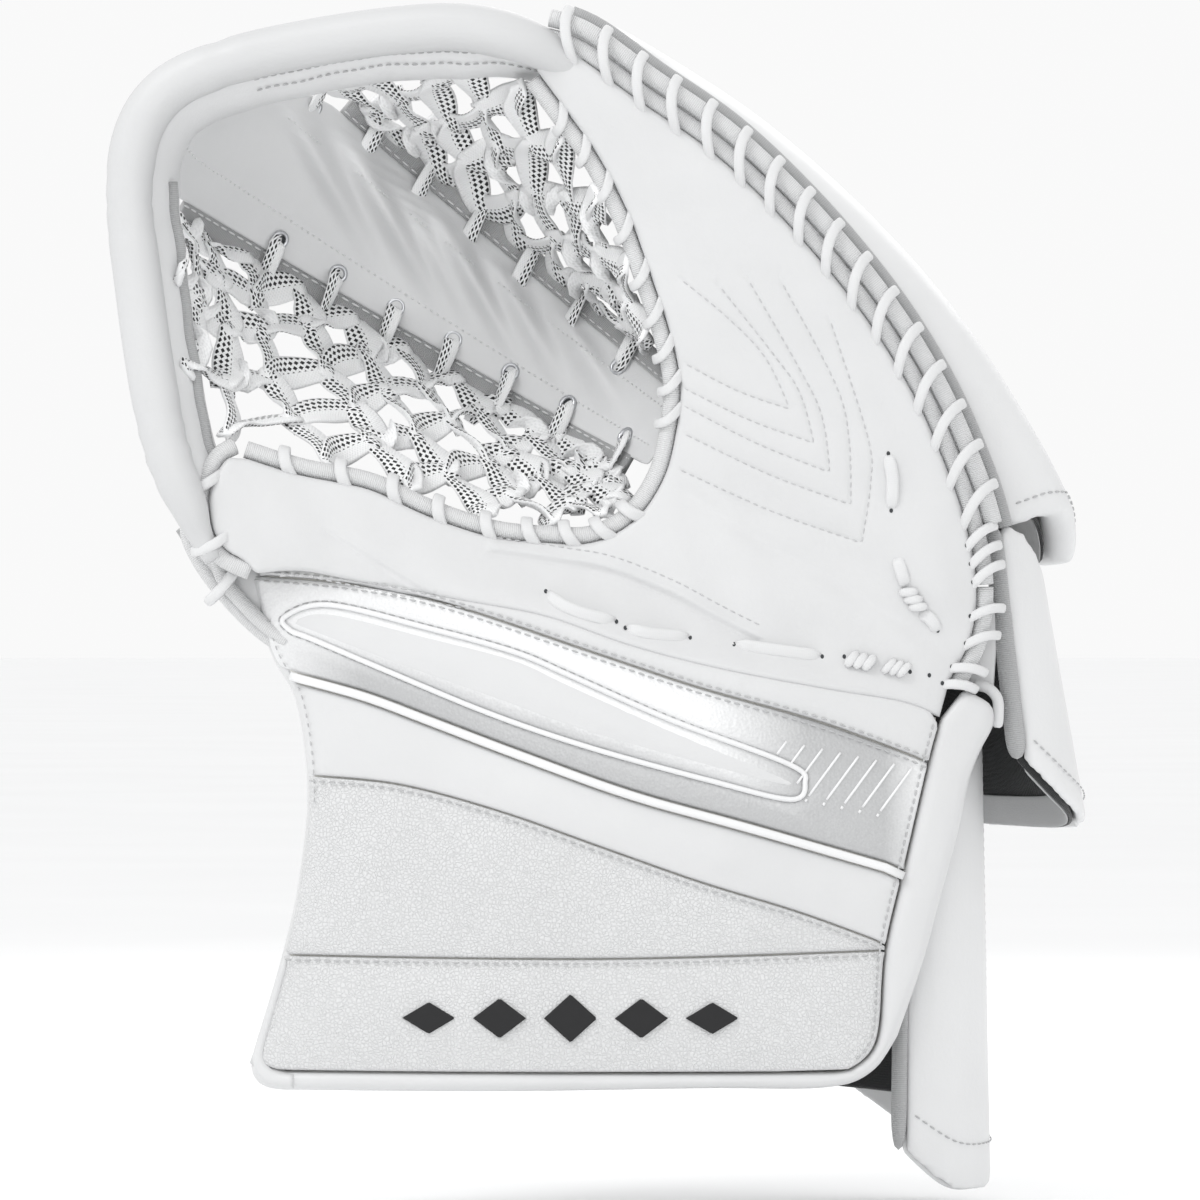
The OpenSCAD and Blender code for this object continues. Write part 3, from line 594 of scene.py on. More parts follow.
def panel(name, outline, surf, thick, mat, body, edge=1.5, puff=0.0, reach=12.0, seams=(), grid=4.0,
          dents=None, face=1, **kw):
    """A leather panel over outline (x, z): its front on surf(x, z), with rolled edges and a puffed middle."""
    o = arr(outline)
    if np.sum(o[:, 0] * np.roll(o[:, 1], -1) - np.roll(o[:, 0], -1) * o[:, 1]) < 0:
        o = o[::-1]
    o = even(looped(o), 2.2)[:-1]
    inwards = normals2(np.vstack([o[-1:], o, o[:1]]))[1:-1]
    extra = []
    for d in (0.25 * edge, 0.6 * edge, edge, 1.8 * edge):
        q = o + inwards * d
        extra.append((q[inside(q, o) & (dist_loop(q, o) > 0.85 * d)], 0.2 * edge))
    for line, _, width in seams:
        for off in (0.0, -0.45, 0.45, -1, 1, -1.8, 1.8):
            q = shift(even(line, 1.3), off * width)
            extra.append((q[inside(q, o) & (dist_loop(q, o) > 0.7 * edge)], 0.42 * width))
    lo, hi = o.min(0), o.max(0)
    g = np.array([(x + (grid / 2 if k % 2 else 0), z)
                  for k, z in enumerate(np.arange(lo[1], hi[1], grid * 0.87))
                  for x in np.arange(lo[0], hi[0], grid)])
    g = g[inside(g, o)]
    extra.append((g[dist_loop(g, o) > 1.5 * edge], 0.6 * grid))
    p, tris = triangulate(o, extra, max(grid, 2.5))
    x, z = p[:, 0], p[:, 1]
    d = dist_loop(p, o)
    roll = edge * (1 - np.sqrt(1 - np.clip(1 - d / edge, 0, 1) ** 2))
    y = pressed(roll - puff * (1 - np.exp(-np.maximum(d, 0) / reach)), p, seams)
    if dents is not None:
        y = y + dents(x, z, d)
    rear = thick - roll * min(1.0, max(thick - edge, 0.1) / edge)
    base = surf(x, z)
    verts = np.vstack([np.stack([x, base + face * y, z], 1),
                       np.stack([x, base + face * np.maximum(rear, y + 0.15), z], 1)])
    n = len(p)
    front = []
    for a, b, c in tris:
        turn = (x[b] - x[a]) * (z[c] - z[a]) - (z[b] - z[a]) * (x[c] - x[a])
        front.append((a, c, b) if turn < 0 else (a, b, c))
    sides = dict.fromkeys((f[i], f[(i + 1) % 3]) for f in front for i in range(3))
    faces = [g for a, b, c in front for g in ((a, b, c), (a + n, c + n, b + n))]
    faces += [(b, a, a + n, b + n) for a, b in sides if (b, a) not in sides]
    return make(name, verts, faces if face > 0 else flipped(faces), mat, body, **kw)


def frames(path, up=(0, 1, 0), closed=False):
    """Points of a path, its directions, and the two directions across it."""
    p = arr(path)
    t = unit(np.roll(p, -1, 0) - np.roll(p, 1, 0) if closed else np.gradient(p, axis=0))
    e = unit(np.cross(np.broadcast_to(arr(up), p.shape), t))
    return p, t, e, np.cross(t, e)


def skin_faces(rows, k, step, around, closed=False, cap_v=0):
    """Faces and UVs of a skin of rows sections with k points each, with end caps if it isn't closed."""
    faces, uv = [], []
    for i in range(rows if closed else rows - 1):
        j = (i + 1) % rows
        for m in range(k):
            q = (m + 1) % k
            faces.append((i * k + m, i * k + q, j * k + q, j * k + m))
            uv.append([(step[i], around[m]), (step[i], around[m + 1]), (step[i + 1], around[m + 1]),
                       (step[i + 1], around[m])])
    if not closed:
        faces += [tuple(range(k))[::-1], tuple((rows - 1) * k + m for m in range(k))]
        uv += [[(0, cap_v)] * k] * 2
    return faces, uv


def sweep_mesh(path, profile, up=(0, 1, 0), closed=False, taper=None):
    """Vertices, faces and UVs of a profile [(e, b), ...] swept along a path; U is mm along, V mm round."""
    p, _, e, b = frames(path, up, closed)
    pr = arr(profile)
    scale = np.ones(len(p)) if taper is None else arr(taper)
    verts = p[:, None] + scale[:, None, None] * (pr[:, :1] * e[:, None] + pr[:, 1:] * b[:, None])
    faces, uv = skin_faces(len(p), len(pr), travel(looped(p)), travel(looped(pr)), closed)
    return oriented(verts.reshape(-1, 3), faces, uv)


def circle(r, k=12, squash=1.0):
    return [(r * math.cos(2 * math.pi * i / k), r * squash * math.sin(2 * math.pi * i / k)) for i in range(k)]


def oval(w, h, k):
    return [(x * w, y * h) for x, y in circle(1.0, k)]


def box_profile(w, h, r=0.35, k=3):
    """Rounded flat section, w along e and h along b."""
    r = min(w, h) * r
    out = []
    for sx, sz, a0 in ((1, 1, 0), (-1, 1, 90), (-1, -1, 180), (1, -1, 270)):
        for i in range(k):
            a = math.radians(a0 + 90 * i / (k - 1))
            out.append((sx * (w / 2 - r) + r * math.cos(a), sz * (h / 2 - r) + r * math.sin(a)))
    return out


def tube(name, path, profile, mat, body, up=(0, 1, 0), taper=None, **kw):
    v, f, uv = sweep_mesh(path, profile, up, taper=taper)
    return make(name, v, f, mat, body, uv=uv, **kw)


def two_skins(m, n):
    """Faces of two m by n grids that lie back to back, and the numbers of the points round a grid's edge."""
    faces = []
    for i in range(m - 1):
        for j in range(n - 1):
            q = (i * n + j, (i + 1) * n + j, (i + 1) * n + j + 1, i * n + j + 1)
            faces += [q, tuple(x + m * n for x in reversed(q))]
    loop = ([(0, j) for j in range(n)] + [(i, n - 1) for i in range(1, m)]
            + [(m - 1, j) for j in range(n - 2, -1, -1)] + [(i, 0) for i in range(m - 2, 0, -1)])
    return faces, loop


def shell(name, outer, inner, mat, body, rim=0.5, sub=1, **kw):
    """Padded shell between two grids of points, with a rounded rim."""
    a, b = arr(outer), arr(inner)
    m, n = a.shape[:2]
    mid = (a + b) / 2
    faces, loop = two_skins(m, n)
    edge = []
    for i, j in loop:
        near = mid[min(max(i, 1), m - 2), min(max(j, 1), n - 2)]
        edge.append(mid[i, j] + unit(mid[i, j] - near) * rim * np.linalg.norm(a[i, j] - b[i, j]))
    k = len(loop)
    for x in range(k):
        y = (x + 1) % k
        ax, ay = (loop[q][0] * n + loop[q][1] for q in (x, y))
        rx, ry = 2 * m * n + x, 2 * m * n + y
        faces += [(ax, ay, ry, rx), (rx, ry, ay + m * n, ax + m * n)]
    v, f, _ = oriented(np.vstack([a.reshape(-1, 3), b.reshape(-1, 3), edge]), faces)
    return make(name, v, f, mat, body, sub=sub, **kw)


def stitches(bag, path, pitch=3.4, run=2.3, r=0.32):
    """Short raised threads along a 3D path."""
    p = arr(path)
    d = travel(p)
    s = 0.6
    while s + run < d[-1]:
        q = [[np.interp(s + run * k, d, p[:, i]) for i in range(3)] for k in (0, 0.25, 0.75, 1)]
        bag.add(*sweep_mesh(q, circle(r, 6), taper=[0.45, 1, 1, 0.45])[:2])
        s += pitch


def inflate(ob, sewn, voxel, pressure, cap, steps=20):
    """Swells a padded piece by cloth simulation. sewn: [(points, radius), ...] of what is sewn down."""
    choose(ob)
    mod = ob.modifiers.new("remesh", "REMESH")
    mod.mode = "VOXEL"
    mod.voxel_size = voxel * 0.001
    mod.use_smooth_shade = True
    bpy.ops.object.modifier_apply(modifier="remesh")
    n = len(ob.data.vertices)
    rest = np.zeros(n * 3)
    ob.data.vertices.foreach_get("co", rest)
    rest = rest.reshape(-1, 3)
    hold = np.max([near_points(rest * 1000, q, r) for q, r in sewn], axis=0)
    group = ob.vertex_groups.new(name="sewn")
    for i in range(n):
        if hold[i] > 0.01:
            group.add([i], float(hold[i]), "REPLACE")
    mod = ob.modifiers.new("cloth", "CLOTH")
    c = mod.settings
    c.quality = 6
    c.mass = 0.3
    c.tension_stiffness = c.compression_stiffness = 12
    c.shear_stiffness = 6
    c.bending_stiffness = 1.5
    c.use_pressure = True
    c.uniform_pressure_force = pressure
    c.vertex_group_mass = "sewn"
    c.effector_weights.gravity = 0
    mod.collision_settings.use_collision = False
    mod.point_cache.frame_start, mod.point_cache.frame_end = 1, steps
    scn = bpy.context.scene
    for f in range(1, steps + 1):
        scn.frame_set(f)
    got = ob.evaluated_get(bpy.context.evaluated_depsgraph_get()).to_mesh()
    co = np.zeros(n * 3)
    got.vertices.foreach_get("co", co)
    ob.modifiers.remove(mod)
    scn.frame_set(1)
    move = co.reshape(-1, 3) - rest
    far = np.linalg.norm(move, axis=1)
    most = cap * 0.001
    move *= np.where(far > most, most / np.maximum(far, 1e-9), 1)[:, None]
    ob.data.vertices.foreach_set("co", (rest + move).ravel())
    ob.data.update()
    subdivide(ob, 1)
    ob.vertex_groups.clear()
    for p in ob.data.polygons:
        p.use_smooth = True


def near_points(p, q, r):
    """1 where a point of p lies within r of a point of q, falling to 0 at 2 r."""
    out = np.full(len(p), 1e9)
    q = arr(q).reshape(-1, 3)
    for i in range(0, len(p), 2000):
        d = ((p[i:i + 2000, None] - q[None]) ** 2).sum(2)
        out[i:i + 2000] = np.sqrt(d.min(1))
    return np.clip(2 - out / r, 0, 1)


# ---------------------------------------------------------------- cuff
cuff_top = shift(spline(FOOT, 60, 0.01, 0.985), -0.3)
left = spline(CUFF_LEFT, 40)
LEFT_Z = left[np.argsort(left[:, 1])]
RIGHT_Z = spline(CUFF_SEAM, 40)
LEATHER = 2.2


def left_x(z):
    """X of the cuff's left edge at height z."""
    return float(np.interp(z, LEFT_Z[:, 1], LEFT_Z[:, 0]))


def right_x(z):
    return float(np.interp(z, RIGHT_Z[:, 1], RIGHT_Z[:, 0]))


def cut(seam):
    """A seam drawn from the cuff's left edge to its right seam."""
    q = spline(seam, 50)
    z0, z1 = q[0, 1], q[-1, 1]
    return np.vstack([[left_x(z0), z0], q[2:-2], [right_x(z1), z1]])


def cuff_piece(low, high, gap=0.25):
    """Outline between two seams, from the left edge to the right seam."""
    edge_l = [(left_x(z), z) for z in np.linspace(high[0, 1], low[0, 1], 24)[1:-1]]
    edge_r = [(right_x(z) - 0.3, z) for z in np.linspace(low[-1, 1], high[-1, 1], 24)[1:-1]]
    return np.vstack([low + [0, gap], edge_r, (high - [0, gap])[::-1], edge_l])


def side_round(x, z, d=0):
    """How far the cuff's left side rolls back."""
    share = np.clip((x - np.interp(z, LEFT_Z[:, 1], LEFT_Z[:, 0])) / 6.0, 0, 1)
    return 4.2 * (1 - np.sqrt(1 - (1 - share) ** 2))


def soften(amount, seed):
    def f(x, z, d):
        wave = np.sin(x * 0.11 + seed) * np.sin(z * 0.13 + 2.1 * seed) + 0.5 * np.sin(x * 0.31 - z * 0.22
                                                                                      + seed)
        return side_round(x, z) + amount * wave * np.clip(d / 8, 0, 1)
    return f


hem = arr([(left_x(16) + 0.5, 16), (left_x(12) + 1.5, 11.6), (left_x(9) + 4.2, 8.4), (left_x(6.5) + 9, 6.7),
           (-60, 6.5), (0, 6.5), (60, 6.5), (84, 7)])
base, grain_s, stripe_s, sheen_s = (cut(s) for s in (BASE_SEAM, GRAIN_SEAM, STRIPE_SEAM, SHEEN_SEAM))
ring_out, ring_mid = loop_curve(WINDOW_OUT, 6), loop_curve(WINDOW_OUT, 8)
for seed, (name, low, high, mat, puff, reach, wave) in enumerate((
        ("cuff_base_panel", hem, base, GRAIN, 1.6, 8, 0.25),
        ("cuff_grain_panel", base, grain_s, GRAIN, 1.8, 10, 0.3),
        ("cuff_smooth_stripe", grain_s, stripe_s, WHITE, 1.4, 8, 0.2))):
    panel(name, cuff_piece(low, high), cuff_y, LEATHER, mat, THUMB, edge=1.1, puff=puff, reach=reach,
          dents=soften(wave, seed + 1.0))
panel("cuff_sheen_panel", cuff_piece(shift(stripe_s, 3.1), sheen_s), cuff_y, LEATHER, SHEEN, THUMB, edge=1.0,
      puff=1.2, reach=6, grid=3.2, seams=[(looped(ring_out), 0.8, 1.2)], dents=side_round)
panel("cuff_window_inlay", loop_curve(WINDOW_IN, 6), lambda x, z: cuff_y(x) - 0.9, 2.6, WHITE, THUMB,
      edge=0.9, puff=1.0, reach=5, grid=3.0)
top_piece = np.vstack([sheen_s[1:] + [0, 0.4], [(right_x(z) - 0.3, z) for z in np.linspace(113, 124, 6)],
                       cuff_top[2:-1]])
panel("cuff_top_strip", top_piece, cuff_y, LEATHER, WHITE, THUMB, edge=1.0, puff=1.5, reach=5, grid=3.0,
      dents=side_round)
edge_line = even(left[::-1], 4.0)
edge_line = edge_line[(edge_line[:, 1] > 7) & (edge_line[:, 1] < 172)]
tube("cuff_side", on_cuff(edge_line, 8.3) + [2.5, 0, 0], oval(3.1, 6.2, 18), WHITE, THUMB)

# piping: the line above the stripe, the ring round the window and the slanted lines beside it
pipe = bags["cuff_piping"]
pipe.tube(on_cuff(shift(stripe_s, 1.55), -0.9), box_profile(2.9, 2.0, 0.45))
pipe.tube(on_cuff(ring_mid, -1.2), box_profile(1.8, 1.7, 0.45), closed=True)
for k in range(8):
    share = (0.3, 0.5, 0.8)[k] if k < 3 else 1.0
    xa, za = 63.24 + 6.12 * k, 118.728 - 1.292 * k
    xb, zb = xa - 10.9 * share, za - 14.7 * share
    pipe.tube(on_cuff(even([(xa, za), (xb, zb)], 2.0), -1.2), box_profile(0.8, 0.5, 0.45))
    if share == 1.0:
        dot = even([(xb - 0.6, zb - 1.0), (xb - 1.2, zb - 1.9)], 0.5)
        pipe.tube(on_cuff(dot, -1.2), box_profile(0.9, 0.5, 0.45))
pipe.make("cuff_piping", PIPING, THUMB)

# wrapped edge, one smooth strip down the right side and along the bottom
wrap_in = np.vstack([[(left_x(17) + 0.7, 17), (left_x(12) + 2.0, 12), (left_x(9) + 4.6, 8.6)],
                     spline([(-107, 6.5), (0, 6.3), (60, 6.3), (80, 6.4)], 20), RIGHT_Z[1:]])
wrap_out = np.vstack([[(left_x(18), 18), (left_x(13), 13)], spline(CUFF_LOW, 50), spline(CUFF_RIGHT, 50)[1:]])
panel("cuff_binding", np.vstack([wrap_out, wrap_in[::-1]]), cuff_y, 14.6, WHITE, THUMB, edge=3.2, puff=0.9,
      reach=9, grid=3.4, dents=soften(0.35, 4.0), pad=0.7)
roll_xz = np.vstack([[(left_x(z) + 0.9, z) for z in np.linspace(45, 17, 12)],
                     [(-116.2, 11), (-114.4, 6.6), (-110.6, 3.8), (-104, 3.0)]])
roll_xz = even(spline(roll_xz, 60), 1.5)
tube("cuff_hem_roll", on_cuff(roll_xz, 1.2), circle(2.7, 14), WHITE, THUMB,
     taper=np.interp(np.linspace(0, 1, len(roll_xz)), [0, 0.05, 0.6, 0.85, 1], [0.15, 0.5, 0.62, 1, 0.9]))
core = np.vstack([shift(left, 1.2), [(-112, 8), (80, 8)], shift(spline(CUFF_SEAM, 30), 1.4),
                  shift(cuff_top, 1.2)[3:-1]])
panel("cuff_board", core, lambda x, z: cuff_y(x) + 2.3, 10.0, FOAM, THUMB, edge=2.0, grid=9, pad=0.8)
panel("cuff_liner", core, lambda x, z: cuff_y(x) + 12.5, 1.6, BLACK, THUMB, edge=0.7, grid=7)

cuff_thread = bags["cuff_stitching"]
for seam, off in ((base, -1.5), (grain_s, -1.7), (sheen_s, -1.6), (sheen_s, 1.5)):
    stitches(cuff_thread, on_cuff(shift(seam, off), -0.95))
side_line = LEFT_Z[(LEFT_Z[:, 1] > 92) & (LEFT_Z[:, 1] < 163)] + [2.0, 0]
stitches(cuff_thread, on_cuff(even(side_line, 2), -0.1), 3.2, 1.6, 0.26)
stitches(cuff_thread, on_cuff(shift(spline(CUFF_SEAM, 60, 0.08, 0.97), 1.9), -0.7), 2.9, 2.0)
stitches(cuff_thread, on_cuff(shift(looped(ring_mid), 1.2), -0.5))

# plain row of lozenges on the base band, where the photograph has letters
MARK_Z, MARK_W = 25, 9.0
for i in range(-2, 3):
    cx, h = -10 + i * 24, 8.2 - abs(i) * 1.4
    o = even([(cx - MARK_W, MARK_Z), (cx, MARK_Z - h), (cx + MARK_W, MARK_Z), (cx, MARK_Z + h),
              (cx - MARK_W, MARK_Z)], 1.2)[:-1]
    k = len(o)
    verts = np.vstack([on_cuff(o, -2.15), on_cuff(o * 0.94 + arr([cx, MARK_Z]) * 0.06, -2.35),
                       on_cuff(o, -1.2)])
    faces = [tuple(k + a for a in range(k)), tuple(2 * k + a for a in reversed(range(k)))]
    for a in range(k):
        b = (a + 1) % k
        faces += [(a, b, k + b, k + a), (2 * k + a, 2 * k + b, b, a)]
    bags["cuff_emblem"].add(*oriented(verts, faces))
bags["cuff_emblem"].make("cuff_emblem", INK, THUMB, smooth=False)

# ---------------------------------------------------------------- palm
skin = np.vstack([shift(spline(POCKET, 110, 0.02, 1.0), -2.9), shift(spline(OUTER, 90, 0.0, 0.99), -2.9),
                  shift(spline(FOOT, 70, 0.005, 0.985), 0.5), shift(spline(THUMB_EDGE, 20, 0.1, 0.88), -2.9)])
FOOT_LINE = spline(FOOT, 60)


def chevron(tip, low, mid, end):
    """A pressed line that comes up from low to the tip and turns back through mid to end."""
    tip, low, mid = arr(tip), arr(low), arr(mid)
    return np.vstack([spline([low, (tip + low) / 2 - [0, 1.5], tip], 30)[:-1],
                      spline([tip, (tip + mid) / 2 + [2, 2], mid, end], 40)])


chevrons = [chevron((64.6, 231.5), (29, 247), (44, 262), (27, 276)),
            chevron((72.8, 220), (28, 239), (59, 250), (40, 274)),
            chevron((78.2, 210), (28, 233), (69, 243), (50, 276)),
            chevron((85.3, 199), (29, 223), (80, 240), (62, 274)),
            chevron((89, 186), (27, 211), (91, 222), (78, 262))]
ridge = spline([(-36, 184.5), (-12, 181), (4, 178), (24, 170), (40, 161.5), (54, 154.5)], 50)
hinge_line = spline([(29, 203), (60, 184), (90, 167), (122, 146)], 40)
hole_line = spline([(-92, 189), (-57, 167.5)], 16)
PALM_SEAMS = [(ridge, -0.9, 1.6), (shift(ridge, -2.4), 0.8, 1.3), (hinge_line, 0.9, 3.2),
              (hole_line, 0.4, 0.9)]
PALM_SEAMS += [(c, 0.42, 0.8) for c in chevrons]
SKIN_EDGE, SKIN_PUFF, SKIN_REACH = 1.7, 2.2, 9


def palm_relief(x, z, d):
    """The crease, the heel's bulge, soft waves, and the dip where the palm meets the cuff."""
    u, s = across(x, z), along(x, z)
    crease = 1.5 * bell(u, 0, 7.0) * np.clip((s - 10) / 30, 0, 1)
    waves = 0.35 * np.sin(s * 0.16) * np.sin(u * 0.2 + 1) + 0.25 * np.sin(x * 0.3 + z * 0.12)
    foot_d = dist_open(np.stack([x, z], 1), FOOT_LINE)
    meet = np.minimum(cuff_y(x) + 0.6 - palm_y(x, z), 1.2) * bell(foot_d, 0, 8.5)
    heel = -2.2 * bell(x, 112, 22.0) * bell(z, 172, 26.0)
    return (crease + heel + waves * 0.8) * np.clip(d / 10, 0, 1) + meet


def palm_front(path, dy=0.0):
    """Points of a flat path lifted onto the finished palm leather."""
    p = arr(path)
    x, z = p[:, 0], p[:, 1]
    d = dist_loop(p, skin)
    roll = SKIN_EDGE * (1 - np.sqrt(1 - np.clip(1 - d / SKIN_EDGE, 0, 1) ** 2))
    y = palm_y(x, z) + roll - SKIN_PUFF * (1 - np.exp(-d / SKIN_REACH)) + palm_relief(x, z, d)
    return np.stack([x, pressed(y, p, PALM_SEAMS) + dy, z], 1)


panel("palm_skin", skin, palm_y, 3.4, WHITE_SOFT, THUMB, edge=SKIN_EDGE, puff=SKIN_PUFF, reach=SKIN_REACH,
      grid=3.4,
      seams=PALM_SEAMS, dents=palm_relief, nodes=["palm_skin_thumb", "palm_crease", "palm_skin_finger"],
      blend=BREAK, pad=0.5)
welt = even(shift(FOOT_LINE, 0.2), 3.0)
welt = np.stack([welt[:, 0], np.maximum(cuff_y(welt[:, 0]), palm_y(welt[:, 0], welt[:, 1])) + 4.2,
                 welt[:, 1]], 1)
tube("palm_welt", welt[1:-1], oval(1.8, 4.0, 12), WHITE, THUMB)
for line in chevrons + [shift(ridge, 3.4)]:
    stitches(bags["palm_stitching"], palm_front(even(line, 2), -0.05), 3.0, 1.9, 0.24)
stitches(bags["palm_stitching"], palm_front(even(shift(FOOT_LINE, 2.2)[4:-4], 2), -0.1), 3.2, 2.1, 0.28)

CORE_IN = -12.5
core_line = np.vstack([shift(spline(POCKET, 36, 0.1, 0.84), CORE_IN),
                       shift(spline(OUTER, 26, 0.2, 0.9), CORE_IN),
                       spline(FOOT, 18, 0.08, 0.9), shift(spline(THUMB_EDGE, 6, 0.3, 0.6), CORE_IN)])


def clip_side(poly, sign, lim):
    """The part of an outline that is at least lim from the crease, on one side of it."""
    out = []
    f = sign * across(poly[:, 0], poly[:, 1]) - lim
    for i in range(len(poly)):
        j = (i + 1) % len(poly)
        if f[i] >= 0:
            out.append(poly[i])
        if (f[i] >= 0) != (f[j] >= 0):
            out.append(poly[i] + f[i] / (f[i] - f[j]) * (poly[j] - poly[i]))
    return np.array(out)


for side, sign, body in (("thumb", -1, THUMB), ("finger", 1, FINGER)):
    part = clip_side(core_line, sign, 14)
    panel("palm_foam_" + side, part, lambda x, z: palm_y(x, z) + 3.5, 4.8, FOAM, body, edge=2.0, grid=9,
          pad=0.8)
    panel(side + "_board", part, lambda x, z: palm_y(x, z) + 8.5, 1.9, BOARD, body, edge=0.8, grid=9)
    panel(side + "_liner", part, lambda x, z: palm_y(x, z) + 10.6, 1.6, BLACK, body, edge=0.7, grid=6)


# ---------------------------------------------------------------- bindings
def bind(name, path2, body, r=3.0, dy=4.4, squash=1.2, **kw):
    tube(name, lift(even(path2, 2.2), dy), circle(r, 12, squash), RIB_WHITE, body, **kw)


bind("pocket_binding", spline(POCKET, 110, 0.015, 0.99), THUMB, squash=1.25, blend=BREAK)
bind("palm_edge_binding", spline(OUTER, 90, 0.01, 0.823), FINGER, r=3.05)
bind("backhand_edge_binding", shift(spline(OUTER, 90, 0.03, 0.74), 6.4), FINGER, r=3.05, dy=4.8)
bind("heel_edge_binding", spline(OUTER, 40, 0.827, 0.995), THUMB, dy=4.6, blend=BREAK)
bind("thumb_edge_binding", spline(THUMB_EDGE, 30, 0.02, 0.99), THUMB, dy=5.0)


# ---------------------------------------------------------------- whipped lacing
def whip_loop(bag, c2, t2, a, b, out, lean, dy=5.0, width=4.2, thick=2.0, k=22):
    """An oval band, a by b, round an edge at c2 along t2. It leans along the edge from front to back."""
    t2 = arr(t2) / np.linalg.norm(t2)
    n2 = np.array([-t2[1], t2[0]])
    mid_y = float(palm_y(*(c2 + n2 * out))) + dy
    pts = []
    for i in range(k):
        w = 2 * math.pi * i / k
        cw = math.cos(w)
        x, z = c2 + n2 * (out + a * cw) - t2 * lean * (0.5 * cw - 0.25 * cw * cw)
        pts.append([x, mid_y + b * math.sin(w), z])
    p = arr(pts)
    up = np.cross([t2[0], 0, t2[1]], np.roll(p, -1, 0) - np.roll(p, 1, 0))
    bag.tube(p, box_profile(width, thick, 0.48), up=up, closed=True)


def hole_shade_spot(c2, r=0.62, stretch=1.25, k=14):
    """A small disc of painted shade where a lace goes through the leather."""
    v = palm_front(np.vstack([arr(circle(r, k, stretch)) + c2, [c2]]), -0.12)
    f = [(i, (i + 1) % k, k) for i in range(k)]
    if np.cross(v[1] - v[0], v[k] - v[0])[1] > 0:
        f = flipped(f)
    bags["palm_lace_holes"].add(v, f)


def whips(name, line, a, b, out, lean, holes=0, **kw):
    """A loop at every point of the line, with a disc of painted hole shade beside it where holes is given as
    a share of a.
    """
    for c2, t2 in zip(line, np.gradient(line, axis=0)):
        if holes:
            t = t2 / np.linalg.norm(t2)
            hole_shade_spot(c2 + np.array([-t[1], t[0]]) * (out - holes * a) + t * lean * 0.39)
        whip_loop(bags[name], c2, t2, a, b, out, lean, **kw)


whips("edge_lace", even(spline(OUTER, 90, 0.06, 0.70), n=15), 8.2, 7.6, 2.8, 11.0, 0.70, width=3.7)
whips("edge_lace", spline(OUTER, 2, 0.75, 0.805), 6.4, 6.2, 0.4, 7.0, 0.74, width=3.4)
whips("heel_edge_lace", spline(OUTER, 1, 0.862, 0.905), 6.2, 6.0, 0.2, 7.0, 0.74, width=3.3)
whips("heel_edge_lace", spline(OUTER, 1, 0.955, 0.99), 6.4, 6.2, 0.2, 6.0, 0.74, width=3.4)
heel_end = spline([(128, -30, 137.5), (132.5, -31, 136.5), (135.6, -31.5, 133), (136, -31.5, 128),
                   (135.6, -31.5, 123)], 20)
bags["heel_edge_lace"].tube(heel_end, box_profile(3.8, 3.2, 0.49), taper=[1.0] * 19 + [0.9, 0.5])
whips("thumb_edge_lace", spline(THUMB_EDGE, 1, 0.3, 0.62), 6.4, 6.2, 0, 4.0, width=3.6)
whip_loop(bags["thumb_edge_lace"], arr((-127.5, 171.5)), (-0.62, 0.78), 7.4, 7.5, 0.5, 3.0, 16.0, width=3.6)
whips("pocket_lace_thumb", spline(POCKET, 8, 0.05, 0.44), 4.7, 5.4, 0, 5.0, thick=1.8)
whips("pocket_lace_finger", spline(POCKET, 8, 0.58, 0.93), 4.5, 5.4, 0, 8.0, width=3.4, thick=1.6)
for name, body in (("edge_lace", FINGER), ("heel_edge_lace", THUMB), ("thumb_edge_lace", THUMB),
                   ("pocket_lace_thumb", THUMB), ("pocket_lace_finger", FINGER)):
    bags[name].make(name, LACE, body)

# ---------------------------------------------------------------- tee
FOLDS = ((-140, 6, 2.6), (-113, 6.5, 3.4), (-96, 5, 2.0), (-79, 6.5, 2.8), (-58, 7, 1.6), (-30, 8, 1.2))


def tee_fold(s, u):
    """Soft folds that run across the tee."""
    f = sum(h * bell(s + 1.85 * (u - 6), mid, 1.2 * w) for mid, w, h in FOLDS)
    return 4.6 * f * bell(u, 9, 11.0) + 0.8 * np.sin(s * 0.045 + u * 0.05)


def tee_grid(dy, puff=0, m=84, n=22):
    g = []
    for i in range(m + 1):
        row = []
        for j in range(n + 1):
            v = -1 + 2 * j / n
            p = tee_point(i / m, v if abs(v) > 1e-9 else 1e-9, dy)
            s, u = along(p[0], p[2]), across(p[0], p[2])
            edge_d = (1 - abs(v)) * tee_half(s)
            p[1] += -tee_fold(s, u) * min(1, edge_d / 6) - puff * (1 - math.exp(-edge_d / 5))
            row.append(p)
        g.append(row)
    return np.array(g)


shell("tee_front", tee_grid(0.4, 0.8), tee_grid(2.3), TEE, THUMB, rim=0.4, pad=0.4)
shell("tee_back", tee_grid(2.7), tee_grid(4.8, -0.8), TEE, THUMB, rim=0.4, pad=0.4)
for side, name, mat in ((-1, "tee_binding_lower", RIB_DARK), (1, "tee_binding_upper", RIB_GREY)):
    tube(name, [tee_point(t, side, 2.6, 3.9) for t in np.linspace(0.03, 0.97, 50)],
         box_profile(8.6, 2.2, 0.4), mat, THUMB)
for side in (-1, 1):
    edge_line = [tee_point(t, side, 0.7, 1.4) for t in np.linspace(0.03, 0.97, 80)]
    stitches(bags["tee_stitching"], edge_line, 4.2, 3.0, 0.34)
    line = []
    for t in np.linspace(0.035, 0.985, 90):
        p = tee_point(t, side * (0.52 if t > 0.08 else 0.52 - (0.08 - t) * 3))
        p[1] += -tee_fold(along(p[0], p[2]), across(p[0], p[2])) - 0.45
        line.append(p)
    stitches(bags["tee_stitching"], line, 2.6, 1.1, 0.34)
